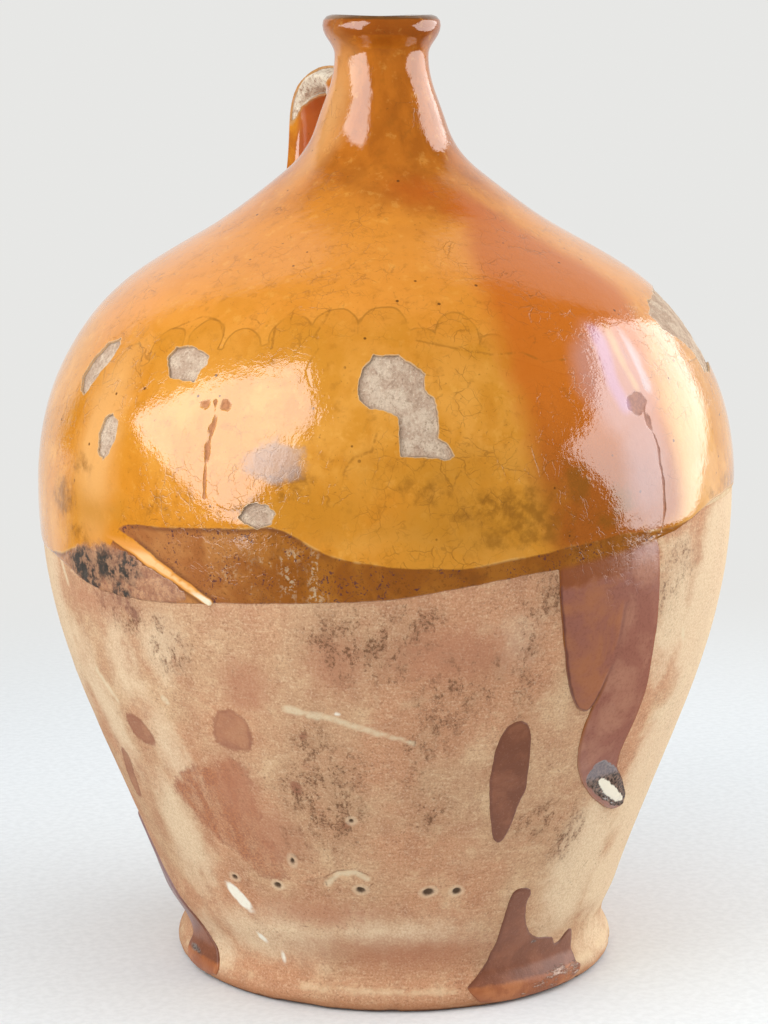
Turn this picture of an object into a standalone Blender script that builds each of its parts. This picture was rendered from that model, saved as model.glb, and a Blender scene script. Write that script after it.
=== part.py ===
# A large hand-thrown oil jug of pinkish earthenware. Its upper half is dipped in white slip and honey-brown
# lead glaze, its lower half is bare clay. The jug is built up as the potter makes it: foot, two thrown walls,
# neck and lip luted to each other, a pulled strap handle, then the coats that the clay carries.
# Metres, +Z up. The origin is the middle of the underside, the handle is at +Y and the front is at -Y.

import math

import bmesh
import bpy
from mathutils import Matrix, Vector

# Clearance between two pieces that touch.
GAP = 0.0003

# Small lengths: points of a line closer than this count as one, points of a curve's mesh are welded within
# this, slopes are read over this, and cutters pass the faces that they cut by this.
NEAR = 0.0001
WELD = 0.00001
SLOPE_STEP = 0.001
CUT_PAST = 0.001

# Columns in a full turn of each turned piece.
COLUMNS = 32

# Clay profile, outer side, from the foot up: the radius of each station, its rise over the one below and its
# lean away from the vertical in degrees, positive outwards. Base, waist and lower wall keep to the flange.
BASE_INSET = 0.0045
BASE_LEAN = 60
FLANGE_RADIUS = 0.108
FLANGE_RISE = 0.006
WAIST_INSET = 0.0065
WAIST_RISE = 0.014
WALL_SPREAD = 0.0041
WALL_RISE = 0.020
WALL_LEAN = 18.4
BELLY_RADIUS = 0.1663
BELLY_RISE = 0.1915
SHOULDER_RADIUS = 0.1446
SHOULDER_RISE = 0.0745
SHOULDER_LEAN = -33.4
SLOPE_RADIUS = 0.0868
SLOPE_RISE = 0.046
SLOPE_LEAN = -60.5
NECK_ROOT_RADIUS = 0.0469
NECK_ROOT_RISE = 0.028
NECK_ROOT_LEAN = -52.3
THROAT_RADIUS = 0.0297
THROAT_RISE = 0.024
THROAT_LEAN = -17.8
NECK_RADIUS = 0.021
NECK_RISE = 0.032
LIP_RADIUS = 0.0267
LIP_RISE = 0.0172
LIP_ROUND = 0.0037
MOUTH_ROUND = 0.0035

# How far a station's lean is felt along the curve to the next, as a share of the way, and points on the way.
CURVE_SHARE = 0.38
SPAN_POINTS = 24

# Points up the clay's outside and inside and over the lip, and how much a bend of one radian counts beside
# length in spacing them.
OUTSIDE_POINTS = 28
INSIDE_POINTS = 14
LIP_POINTS = 4
BEND_WEIGHT = 0.06

# Wall thickness at three heights, the floor and its inner corner.
FOOT_WALL = 0.011
BELLY_WALL = 0.008
NECK_WALL = 0.0065
FLOOR_THICKNESS = 0.010
FLOOR_ROUND = 0.016

# Where one thrown section is luted to the next, over the waist, under the belly, over the neck's root and
# under the lip's collar, and the ridge that keys them.
FOOT_SEAM_RISE = 0.010
BELLY_SEAM_DROP = 0.0465
NECK_SEAM_RISE = 0.012
COLLAR_SEAM_DROP = 0.008
KEY_HEIGHT = 0.004

# Coats on the clay.
SLIP_THICKNESS = 0.0005
GLAZE_THICKNESS = 0.0007
LINER_THICKNESS = 0.0006
DRIP_THICKNESS = 0.0014

# Strap handle, in the plane X = 0 on the back: the strap's section, how far out of the neck and under the
# lip's top its middle line runs, its scale at both ends, and the lutings' half sizes across, up the wall and
# out of it.
BACK = 180
STRAP_WIDTH = 0.034
STRAP_THICKNESS = 0.011
STRAP_ROUND = 0.0045
STRAP_SPAN = 0.0485
STRAP_TOP_DROP = 0.0257
STRAP_BEND_DROP = 0.0492
STRAP_NECK_SCALE = 0.9
STRAP_FOOT_SCALE = 1.12
STRAP_FOOT_LEAN = 0.003
NECK_JOIN_DROP = 0.0342
NECK_LUTING = (0.0215, 0.0085, 0.0115)
SHOULDER_LUTING = (0.026, 0.0105, 0.0145)

# Lower edges of the two coats: degrees round from the front towards +X, and height over the belly's widest.
GLAZE_EDGE = (
    (-99, -0.0265),
    (-74, -0.032),
    (-54, -0.0305),
    (-31, -0.0255),
    (-13, -0.0195),
    (4, -0.014),
    (23, -0.009),
    (50, -0.0045),
    (80, -0.0075),
    (112, -0.0175),
    (150, -0.0235),
    (182, -0.0175),
    (220, -0.0205),
)
SLIP_EDGE = (
    (-99, 0.0025),
    (-69, -0.0005),
    (-53, 0.003),
    (-35, 0.0085),
    (-25, -0.0065),
    (-14, -0.011),
    (4, -0.0103),
    (23, -0.0043),
    (50, 0),
    (80, -0.003),
    (112, -0.0115),
    (150, -0.0155),
    (182, -0.0075),
    (220, -0.0095),
)
# Columns in a full turn of the cutters that follow the edges, and their turn against the pieces' columns.
EDGE_COLUMNS = 48
EDGE_TURN = 1.3

# How far the cutters of edges, chips and drips reach out of and into the wall, and their bore round the axis.
CUT_DEPTH = 0.02
CUT_BORE = 0.0035

# A trail of slip that ran down under the glaze: its upper and lower end, placed in the same way, and its half
# width.
SLIP_RUN_TOP = (-69.5, 0.0015)
SLIP_RUN_FOOT = (-50.5, -0.026)
SLIP_RUN_HALF_WIDTH = 0.0032

# Places where glaze and slip have flaked off down to the clay: degrees round from the front, height of the
# middle over the belly's widest, and the outline in outline steps across and up the surface.
OUTLINE_STEP = 0.001
CHIPS = {
    "front": (-19.7, 0.0588, ((-13.5, 23.6), (-2.4, 23.3), (7, 15), (7.3, 6.4), (12.5, 0), (13.2, -14.8),
                              (19.5, -22.5), (-2.7, -22), (-4.6, -5.2), (-15.9, -1.3), (-21, 6), (-18, 17))),
    "left": (-83, 0.0653, ((-4.1, 14.1), (5.3, 10.9), (12, 1.6), (9.3, -7.7), (1.8, -12.6), (-5.5, -10.6),
                           (-9.5, -1), (-9.3, 8.2))),
    "oval": (-72.9, 0.0385, ((-3.9, 9.9), (3.3, 7.5), (6.8, 0.6), (5.1, -6.8), (0.3, -8.8), (-4.7, -5.3),
                            (-6.9, 3.6))),
    "grey": (-59, 0.0714, ((-13.5, 2.4), (-10.9, 8.1), (-0.9, 9.3), (9.8, 4), (6.6, -7.8), (-7.5, -7))),
    "small": (-42.7, 0.0113, ((-8, 1.4), (-1, 5.3), (8.2, 3.2), (7.4, -1.6), (0.1, -4.6), (-6.5, -3.7))),
    "right": (49.7, 0.0734, ((-23, 18), (-21, 9), (-10, 2.5), (0, -5), (2, -16.5), (14.7, -19), (31, -5),
                             (34, 9), (22, 23), (7.9, 27), (-10, 25))),
}

# Drips of glaze on the bare clay, placed and drawn in the same way.
WALL_DRIPS = {
    "glaze_run": (19.3, -0.0894, ((-43, 92), (-37.7, 42.9), (-30.9, 18.4), (-25, 9.5), (-19.8, 6.2), (-15, 8),
                                 (-11.3, 0), (-11.3, -12.4), (-10.3, -25), (0, -38), (12, -48), (24, -56),
                                 (33, -54.5), (31, -45), (16.1, -23.7), (16.3, -7.5), (17.8, 10.6),
                                 (15.2, 36.3), (13, 92))),
    "glaze_patch": (-0.7, -0.1132, ((-0.3, 32.4), (6.3, 27.5), (8.1, 14.5), (6.8, -6.2), (4.8, -31.7),
                                   (0.9, -35), (-3.7, -28.2), (-7.8, -9.8), (-8.7, 9.4), (-6.4, 25.2))),
}

# Splashes of glaze that pooled at the foot, with the height of their middle over the underside.
FOOT_SPLASHES = {
    "foot_splash_front": (15.7, 0.0277, ((-14, 33.3), (-9.4, 31.3), (-4.9, 19.2), (6, 4), (19, -1), (29, -2),
                                         (31, -12), (36, -18), (30, -30), (-10, -31), (-30, -29),
                                         (-29, -11.5), (-22, 0), (-20, 15.8), (-19.2, 28.1))),
    "foot_splash_side": (-84, 0.0210, ((-22, 14), (-12, 18), (2, 8), (14, -2), (24, -12), (18, -21),
                                       (-4, -21), (-20, -15))),
}
DRIP_FOOT = 0.0006

# Radii and heights that follow from these
base_radius = FLANGE_RADIUS - BASE_INSET
waist_radius = FLANGE_RADIUS - WAIST_INSET
wall_radius = FLANGE_RADIUS + WALL_SPREAD
flange_height = FLANGE_RISE
waist_height = flange_height + WAIST_RISE
wall_height = waist_height + WALL_RISE
belly_height = wall_height + BELLY_RISE
shoulder_height = belly_height + SHOULDER_RISE
slope_height = shoulder_height + SLOPE_RISE
neck_root_height = slope_height + NECK_ROOT_RISE
throat_height = neck_root_height + THROAT_RISE
neck_height = throat_height + NECK_RISE
lip_top = neck_height + LIP_RISE
foot_seam = waist_height + FOOT_SEAM_RISE
belly_seam = belly_height - BELLY_SEAM_DROP
neck_seam = neck_root_height + NECK_SEAM_RISE
collar_seam = neck_height - COLLAR_SEAM_DROP
strap_top = lip_top - STRAP_TOP_DROP
strap_bend_height = lip_top - STRAP_BEND_DROP
neck_join_height = lip_top - NECK_JOIN_DROP
strap_reach = NECK_RADIUS + STRAP_SPAN

CLAY_PINK = (0.60, 0.37, 0.24)
CLAY_TAN = (0.62, 0.42, 0.27)
SLIP_CREAM = (0.80, 0.70, 0.52)
GLAZE_HONEY = (0.62, 0.25, 0.03)
GLAZE_AMBER = (0.50, 0.17, 0.02)
GLAZE_BROWN = (0.26, 0.09, 0.05)


def new_collection(name, hidden):
    collection = bpy.data.collections.new(name)
    collection.hide_render = hidden
    bpy.context.scene.collection.children.link(collection)
    return collection


def material(name, colour, roughness):
    finish = bpy.data.materials.new(name)
    finish.use_nodes = True
    shader = finish.node_tree.nodes["Principled BSDF"]
    shader.inputs["Base Color"].default_value = (*colour, 1)
    shader.inputs["Roughness"].default_value = roughness
    shader.inputs["Metallic"].default_value = 0
    return finish


def add_piece(name, mesh, finish):
    """A named object in the jug's collection with its own finish."""
    piece = bpy.data.objects.new(name, mesh)
    mesh.materials.append(finish)
    jug.objects.link(piece)
    return piece


def add_cutter(name, mesh):
    cutter = bpy.data.objects.new(name, mesh)
    cutter.hide_render = True
    cutter.display_type = "WIRE"
    cutters.objects.link(cutter)
    return cutter


def combine(piece, operation, other):
    modifier = piece.modifiers.new(f"{operation.lower()} {other.name}", "BOOLEAN")
    modifier.operation = operation
    modifier.solver = "EXACT"
    modifier.object = other


def turn_on_axis(piece):
    """Turns the outline in the piece's mesh about Z."""
    screw = piece.modifiers.new("turning", "SCREW")
    screw.steps = COLUMNS
    screw.render_steps = COLUMNS
    screw.use_merge_vertices = True
    screw.merge_threshold = 0.0001


def outline_mesh(name, outline, closed):
    mesh = bpy.data.meshes.new(name)
    edges = [(i, i + 1) for i in range(len(outline) - 1)]
    if closed:
        edges.append((len(outline) - 1, 0))
    mesh.from_pydata([(radius, 0, height) for radius, height in outline], edges, [])
    return mesh


def turned_piece(name, outline, finish, closed=True):
    piece = add_piece(name, outline_mesh(name, outline, closed), finish)
    turn_on_axis(piece)
    return piece


def turned_cutter(name, outline, closed=True):
    cutter = add_cutter(name, outline_mesh(name, outline, closed))
    turn_on_axis(cutter)
    return cutter


# Lines of the profile


def span(start, end):
    """Cubic curve from one (radius, height, lean) to the next, without its last point."""
    first, last = Vector(start[:2]), Vector(end[:2])
    reach = (last - first).length * CURVE_SHARE
    leave, arrive = (
        Vector((math.sin(math.radians(lean)), math.cos(math.radians(lean)))) * reach
        for lean in (start[2], end[2])
    )
    handles = first, first + leave, last - arrive, last
    points = []
    for i in range(SPAN_POINTS):
        t = i / SPAN_POINTS
        weights = (1 - t) ** 3, 3 * t * (1 - t) ** 2, 3 * t * t * (1 - t), t ** 3
        points.append(sum((h * w for h, w in zip(handles, weights)), Vector((0, 0))))
    return points


def clay_line():
    """The clay's outer side from the underside's edge up to the lip's widest point."""
    stations = (
        (base_radius, 0, BASE_LEAN),
        (FLANGE_RADIUS, flange_height, 0),
        (waist_radius, waist_height, 0),
        (wall_radius, wall_height, WALL_LEAN),
        (BELLY_RADIUS, belly_height, 0),
        (SHOULDER_RADIUS, shoulder_height, SHOULDER_LEAN),
        (SLOPE_RADIUS, slope_height, SLOPE_LEAN),
        (NECK_ROOT_RADIUS, neck_root_height, NECK_ROOT_LEAN),
        (THROAT_RADIUS, throat_height, THROAT_LEAN),
        (NECK_RADIUS, neck_height, 0),
        (LIP_RADIUS, lip_top - LIP_ROUND, 0),
    )
    line = []
    for start, end in zip(stations, stations[1:]):
        line += span(start, end)
    return spaced(line + [Vector(stations[-1][:2])], OUTSIDE_POINTS)


def shifted(line, distance_at):
    """The line moved along its outward normal; distance_at gives the distance for a height."""
    moved = []
    for i, point in enumerate(line):
        along = (line[min(i + 1, len(line) - 1)] - line[max(i - 1, 0)]).normalized()
        moved.append(point + Vector((along.y, -along.x)) * distance_at(point.y))
    return moved


def height_between(line, height):
    """The point where the line passes a height."""
    for low, high in zip(line, line[1:]):
        if low.y <= height <= high.y:
            return low.lerp(high, (height - low.y) / (high.y - low.y))
    return line[-1] if height > line[-1].y else line[0]


def radius_above_belly(line, radius):
    """The point above the belly where the line narrows to a radius."""
    for low, high in zip(line, line[1:]):
        if low.y > belly_height and low.x >= radius >= high.x:
            return low.lerp(high, (low.x - radius) / (low.x - high.x))
    return line[-1]


def between(line, low, high):
    """The line from one height to another."""
    inner = [point for point in line if low + NEAR < point.y < high - NEAR]
    return [height_between(line, low), *inner, height_between(line, high)]


def spaced(line, count):
    """count points along the line, closer together where it bends more."""
    measure = [0.0, (line[1] - line[0]).length]
    for before, point, after in zip(line, line[1:], line[2:]):
        step = after - point
        measure.append(measure[-1] + step.length + step.angle(point - before, 0) * BEND_WEIGHT)
    points = [line[0]]
    i = 0
    for k in range(1, count - 1):
        wanted = measure[-1] * k / (count - 1)
        while measure[i + 1] < wanted:
            i += 1
        points.append(line[i].lerp(line[i + 1], (wanted - measure[i]) / (measure[i + 1] - measure[i])))
    return points + [line[-1]]


def arc(centre, radius, start, end, count):
    """count points of a circle in the profile's plane, from one angle to another in degrees."""
    angles = [math.radians(start + (end - start) * i / (count - 1)) for i in range(count)]
    return [Vector((centre[0] + radius * math.cos(a), centre[1] + radius * math.sin(a))) for a in angles]


def wall_thickness(height):
    """The clay's thickness, which thins from foot to belly and again from belly to neck."""
    if height < belly_height:
        share = max(0, height - foot_seam) / (belly_height - foot_seam)
        return FOOT_WALL + (BELLY_WALL - FOOT_WALL) * share
    share = min(1, (height - belly_height) / (neck_height - belly_height))
    return BELLY_WALL + (NECK_WALL - BELLY_WALL) * share


outer_line = clay_line()
inner_line = spaced(
    shifted(between(outer_line, waist_height, neck_height), lambda height: -wall_thickness(height)),
    INSIDE_POINTS,
)
bore_radius = NECK_RADIUS - NECK_WALL
inner_line.append(Vector((bore_radius, lip_top - MOUTH_ROUND)))
lip_centre = (LIP_RADIUS - LIP_ROUND, lip_top - LIP_ROUND)
mouth_edge = bore_radius + MOUTH_ROUND


def floor_line(lift, top):
    """The inside from its middle over the rounded floor corner to the wall, lift above the clay."""
    wall = height_between(shifted(inner_line, lambda height: -lift), top)
    corner = wall.x - FLOOR_ROUND + lift, FLOOR_THICKNESS + FLOOR_ROUND
    return [Vector((0, FLOOR_THICKNESS + lift))] + arc(corner, FLOOR_ROUND - lift, -90, -15, 4)


def keyed_joint(height, raised):
    """The three points of a luted joint from the outer to the inner side, a ridge or the groove over it."""
    outside = height_between(outer_line, height)
    inside = height_between(inner_line, height)
    middle = (outside.x + inside.x) / 2
    return [outside + Vector((0, raised)), Vector((middle, height + KEY_HEIGHT + raised)),
            inside + Vector((0, raised))]


def thrown_section(name, low, high, finish):
    """One ring of wall between two luted joints."""
    top = keyed_joint(high, 0)
    foot = keyed_joint(low, GAP)
    outside = between(outer_line, low + GAP, high)[1:-1]
    inside = between(inner_line, low + GAP, high)[1:-1]
    outline = [top[2], top[1], top[0]] + outside[::-1] + foot + inside
    return turned_piece(name, outline, finish)


def coat_line(lift, low, end_radius):
    """The clay's outer side moved out by lift, from a height over the lip to its flat top."""
    up = between(shifted(outer_line, lambda height: lift), low, lip_centre[1])
    over = arc(lip_centre, LIP_ROUND + lift, 0, 90, LIP_POINTS)
    return up[:-1] + over + [Vector((end_radius, lip_top + lift))]


def coat_outline(inner_lift, outer_lift, low, end_radius):
    return coat_line(outer_lift, low, end_radius)[::-1] + coat_line(inner_lift, low, end_radius)


# Places on the outside


def edge_rise(edge, degrees):
    """How far a coat's edge lies over the belly's widest, eased from each given angle to the next."""
    around = sorted(edge)
    around = [(around[-1][0] - 360, around[-1][1])] + around + [(around[0][0] + 360, around[0][1])]
    while degrees < around[0][0]:
        degrees += 360
    while degrees > around[-1][0]:
        degrees -= 360
    for (low, start), (high, end) in zip(around, around[1:]):
        if low <= degrees <= high:
            share = (1 - math.cos(math.pi * (degrees - low) / (high - low))) / 2
            return start + (end - start) * share
    return around[0][1]


def on_wall(degrees, height):
    """Frame on the clay's outside: X to the right, Y up the surface and Z straight out of it."""
    angle = math.radians(degrees)
    outward = Vector((math.sin(angle), -math.cos(angle), 0))
    right = Vector((math.cos(angle), math.sin(angle), 0))
    place = height_between(outer_line, height)
    near = height_between(outer_line, height + SLOPE_STEP) - height_between(outer_line, height - SLOPE_STEP)
    up = (outward * near.x + Vector((0, 0, near.y))).normalized()
    frame = Matrix((right, up, right.cross(up))).transposed().to_4x4()
    frame.translation = outward * place.x + Vector((0, 0, place.y))
    return frame


def below_edge(name, edge, raised):
    """Cutter that fills the jug and what lies round it below a coat's edge, level across the belly's wall."""
    inside, outside = BELLY_RADIUS - CUT_DEPTH, BELLY_RADIUS + CUT_DEPTH
    section = ((CUT_BORE, 0), (CUT_BORE, -CUT_DEPTH), (outside, -CUT_DEPTH), (outside, belly_height),
               (inside, belly_height))
    shape = bmesh.new()
    corners = [shape.verts.new((radius, 0, height)) for radius, height in section]
    for i, corner in enumerate(corners):
        shape.edges.new((corner, corners[(i + 1) % len(corners)]))
    bmesh.ops.spin(shape, geom=shape.verts[:] + shape.edges[:], axis=(0, 0, 1), cent=(0, 0, 0),
                   angle=2 * math.pi, steps=EDGE_COLUMNS, use_merge=True)
    shape.transform(Matrix.Rotation(math.radians(EDGE_TURN), 4, "Z"))
    for vertex in shape.verts:
        if vertex.co.z > belly_height / 2:
            degrees = math.degrees(math.atan2(vertex.co.x, -vertex.co.y))
            vertex.co.z = belly_height + edge_rise(edge, degrees) + raised
    bmesh.ops.recalc_face_normals(shape, faces=shape.faces)
    mesh = bpy.data.meshes.new(name)
    shape.to_mesh(mesh)
    shape.free()
    return add_cutter(name, mesh)


def mesh_of_curve(name, curve_data, place):
    """A closed mesh of a filled curve, its caps welded to its sides, moved to its place."""
    guide = bpy.data.objects.new(name + " guide", curve_data)
    cutters.objects.link(guide)
    graph = bpy.context.evaluated_depsgraph_get()
    mesh = bpy.data.meshes.new_from_object(guide.evaluated_get(graph))
    mesh.name = name
    bpy.data.objects.remove(guide)
    shape = bmesh.new()
    shape.from_mesh(mesh)
    bmesh.ops.remove_doubles(shape, verts=shape.verts, dist=WELD)
    shape.transform(place)
    bmesh.ops.recalc_face_normals(shape, faces=shape.faces)
    if shape.calc_volume(signed=True) < 0:
        bmesh.ops.reverse_faces(shape, faces=shape.faces)
    shape.to_mesh(mesh)
    shape.free()
    return mesh


def flat_curve(name, points, half_depth):
    """A flat closed outline with straight sides, extruded both ways."""
    curve = bpy.data.curves.new(name, "CURVE")
    curve.dimensions = "2D"
    curve.fill_mode = "BOTH"
    curve.extrude = half_depth
    spline = curve.splines.new("POLY")
    spline.points.add(len(points) - 1)
    for point, (x, y) in zip(spline.points, points):
        point.co = (x, y, 0, 1)
    spline.use_cyclic_u = True
    return curve


def wall_cutter(name, degrees, height, outline):
    """Straight-sided cutter through the coats, its outline in outline steps across and up the wall."""
    curve = flat_curve(name, [(x * OUTLINE_STEP, y * OUTLINE_STEP) for x, y in outline], CUT_DEPTH)
    return add_cutter(name, mesh_of_curve(name, curve, on_wall(degrees, height)))


# Start

for old in list(bpy.data.objects):
    bpy.data.objects.remove(old)
jug = new_collection("oil_jug", False)
cutters = new_collection("cutters", True)

clay_pink = material("bare clay", CLAY_PINK, 0.9)
clay_tan = material("fired clay inside", CLAY_TAN, 0.9)
slip_finish = material("white slip", SLIP_CREAM, 0.8)
glaze_finish = material("honey glaze", GLAZE_HONEY, 0.15)
liner_finish = material("inner glaze", GLAZE_AMBER, 0.2)
drip_finish = material("brown glaze run", GLAZE_BROWN, 0.35)

# Foot: the thrown floor with its spread edge

foot_joint = keyed_joint(foot_seam, 0)
foot_outside = between(outer_line, 0, foot_seam)
foot_outline = floor_line(0, foot_seam) + foot_joint[::-1] + foot_outside[::-1][1:] + [Vector((0, 0))]
turned_piece("foot", foot_outline, clay_pink, closed=False)

# Walls, neck and lip, each luted on the one below

thrown_section("lower_wall", foot_seam, belly_seam, clay_pink)
thrown_section("upper_wall", belly_seam, neck_seam, clay_tan)
thrown_section("neck", neck_seam, collar_seam, clay_tan)

collar_joint = keyed_joint(collar_seam, GAP)
mouth_centre = (mouth_edge, lip_top - MOUTH_ROUND)
collar_outline = (
    arc(mouth_centre, MOUTH_ROUND, 180, 90, 4)
    + arc(lip_centre, LIP_ROUND, 90, 0, LIP_POINTS)
    + between(outer_line, collar_seam + GAP, lip_centre[1])[1:-1][::-1]
    + collar_joint
)
turned_piece("lip_collar", collar_outline, clay_tan)

# Strap handle, pulled from a roll of clay and pressed on at neck and shoulder

strap_points = (
    (bore_radius, neck_join_height, STRAP_NECK_SCALE),
    ((NECK_RADIUS + strap_reach) / 2, strap_top, 1),
    (strap_reach - STRAP_THICKNESS / 2, (strap_top * 2 + strap_bend_height) / 3, 1),
    (strap_reach, strap_bend_height, 1),
)
strap_foot = radius_above_belly(outer_line, strap_reach + STRAP_FOOT_LEAN)


def strap_mesh(name, grown):
    """The strap's rounded section swept along its middle line, made larger all round by grown."""
    half_width, half_thickness = STRAP_WIDTH / 2 + grown, STRAP_THICKNESS / 2 + grown
    corner = STRAP_ROUND + grown
    section = []
    for side, (x, y) in enumerate(((1, 1), (-1, 1), (-1, -1), (1, -1))):
        centre = x * (half_width - corner), y * (half_thickness - corner)
        section += arc(centre, corner, side * 90, side * 90 + 90, 3)
    profile = bpy.data.objects.new(name + " section", flat_curve(name + " section", section, 0))
    cutters.objects.link(profile)
    curve = bpy.data.curves.new(name, "CURVE")
    curve.dimensions = "3D"
    curve.twist_mode = "MINIMUM"
    curve.bevel_mode = "OBJECT"
    curve.bevel_object = profile
    curve.use_fill_caps = True
    curve.resolution_u = 4
    spline = curve.splines.new("BEZIER")
    foot = (strap_foot.x, strap_foot.y - SHOULDER_LUTING[1], STRAP_FOOT_SCALE)
    middle = (*strap_points, foot)
    spline.bezier_points.add(len(middle) - 1)
    for point, (distance, height, scale) in zip(spline.bezier_points, middle):
        point.co = (0, distance, height)
        point.radius = scale
        point.handle_left_type = "AUTO"
        point.handle_right_type = "AUTO"
    mesh = mesh_of_curve(name, curve, Matrix())
    bpy.data.objects.remove(profile)
    return mesh


def luting_mesh(name, frame, half_sizes, grown):
    """A flattened ball of clay on the wall."""
    shape = bmesh.new()
    bmesh.ops.create_uvsphere(shape, u_segments=16, v_segments=9, radius=1)
    sizes = [size + grown for size in half_sizes]
    shape.transform(frame @ Matrix.Diagonal((sizes[0], sizes[2], sizes[1], 1)))
    mesh = bpy.data.meshes.new(name)
    shape.to_mesh(mesh)
    shape.free()
    return mesh


slip_lift = GAP + SLIP_THICKNESS
glaze_lift = slip_lift + GAP + GLAZE_THICKNESS


def envelope(name, lift):
    """Cutter that fills the jug's outside moved out by lift."""
    side = coat_line(lift, foot_seam, mouth_edge)[::-1]
    return turned_cutter(name, [Vector((0, lip_top + lift)), *side, Vector((0, foot_seam))], closed=False)


clay_envelope = envelope("clay_envelope", GAP)
strap = add_piece("handle_strap", strap_mesh("handle_strap", 0), clay_pink)
combine(strap, "DIFFERENCE", clay_envelope)
strap_room = add_cutter("strap_room", strap_mesh("strap_room", GAP))

luting_rooms = []
for luting_name, height, half_sizes in (
    ("handle_neck_luting", neck_join_height, NECK_LUTING),
    ("handle_shoulder_luting", strap_foot.y, SHOULDER_LUTING),
):
    frame = on_wall(BACK, height)
    luting = add_piece(luting_name, luting_mesh(luting_name, frame, half_sizes, 0), clay_pink)
    combine(luting, "DIFFERENCE", clay_envelope)
    combine(luting, "DIFFERENCE", strap_room)
    room_name = luting_name + "_room"
    luting_rooms.append(add_cutter(room_name, luting_mesh(room_name, frame, half_sizes, GAP)))

# Glaze on the handle, a sleeve between the two lutings

handle_glaze = add_piece("handle_glaze", strap_mesh("handle_glaze", GAP + GLAZE_THICKNESS), glaze_finish)
for room in [strap_room, envelope("handle_glaze_ends", NECK_LUTING[1] / 2), *luting_rooms]:
    combine(handle_glaze, "DIFFERENCE", room)

# Chips that go through both coats

chip_cutters = [
    wall_cutter(f"chip_{name}", degrees, belly_height + rise, outline)
    for name, (degrees, rise, outline) in CHIPS.items()
]

# Slip coat, from its wavy lower edge over the lip, with the trail that ran down to the glaze's edge

run_top, run_foot = (
    on_wall(degrees, belly_height + rise).translation for degrees, rise in (SLIP_RUN_TOP, SLIP_RUN_FOOT)
)
run_degrees = (SLIP_RUN_TOP[0] + SLIP_RUN_FOOT[0]) / 2
run_height = belly_height + (SLIP_RUN_TOP[1] + SLIP_RUN_FOOT[1]) / 2


def slip_run_outline(grown):
    """A slot along the slip run in outline steps on the wall, widened all round by grown."""
    frame = on_wall(run_degrees, run_height).inverted()
    top, foot = ((frame @ end).xy for end in (run_top, run_foot))
    along = (foot - top).normalized()
    side = Vector((-along.y, along.x))
    width = SLIP_RUN_HALF_WIDTH + grown
    outline = []
    for end, start in ((foot, -90), (top, 90)):
        for i in range(5):
            angle = math.radians(start + 45 * i)
            outline.append(end + (along * math.cos(angle) + side * math.sin(angle)) * width)
    return [point / OUTLINE_STEP for point in outline]


def below_slip(name, grown):
    """Everything below the slip's edge apart from its trail, for a slip coat larger by grown."""
    cutter = below_edge(name, SLIP_EDGE, -grown)
    run = wall_cutter(name + "_run", run_degrees, run_height, slip_run_outline(grown))
    combine(cutter, "DIFFERENCE", run)
    return cutter


coat_foot = belly_height + min(rise for degrees, rise in GLAZE_EDGE + SLIP_EDGE) - CUT_DEPTH / 2
slip_coat = turned_piece("slip_coat", coat_outline(GAP, slip_lift, coat_foot, mouth_edge), slip_finish)
for cutter in [below_slip("below_slip", 0), strap_room, *luting_rooms, *chip_cutters]:
    combine(slip_coat, "DIFFERENCE", cutter)

# Glaze coat over slip and clay, thick where it lies straight on the clay

slip_room = turned_cutter(
    "slip_room", coat_outline(-CUT_PAST, slip_lift + GAP, coat_foot - CUT_PAST, mouth_edge - CUT_PAST)
)
combine(slip_room, "DIFFERENCE", below_slip("below_slip_room", GAP))
glaze_coat = turned_piece("glaze_coat", coat_outline(GAP, glaze_lift, coat_foot, mouth_edge), glaze_finish)
for cutter in [below_edge("below_glaze", GLAZE_EDGE, 0), slip_room, strap_room, *luting_rooms, *chip_cutters]:
    combine(glaze_coat, "DIFFERENCE", cutter)

# Inner glaze, which makes the porous clay hold oil

liner_top = lip_top - MOUTH_ROUND
glazed_side, clay_side = (
    floor_line(lift, foot_seam) + between(shifted(inner_line, lambda height: -lift), foot_seam, liner_top)
    for lift in (GAP + LINER_THICKNESS, GAP)
)
turned_piece("interior_glaze", glazed_side + clay_side[::-1], liner_finish, closed=False)

# Drips of brown glaze on the bare clay

below_coats = below_edge("below_coats", GLAZE_EDGE, -GAP)
drips = {
    name: (degrees, belly_height + rise, outline) for name, (degrees, rise, outline) in WALL_DRIPS.items()
}
for drip_name, drip in (drips | FOOT_SPLASHES).items():
    inner, outer = (
        between(shifted(outer_line, lambda height: lift), DRIP_FOOT, belly_height)
        for lift in (GAP, GAP + DRIP_THICKNESS)
    )
    piece = turned_piece(drip_name, outer[::-1] + inner, drip_finish)
    combine(piece, "INTERSECT", wall_cutter(drip_name + "_shape", *drip))
    combine(piece, "INTERSECT", below_coats)

for piece in jug.objects:
    piece.data.shade_smooth()
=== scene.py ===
import itertools
import math
import bpy
from mathutils import Matrix
import numpy as np


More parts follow.
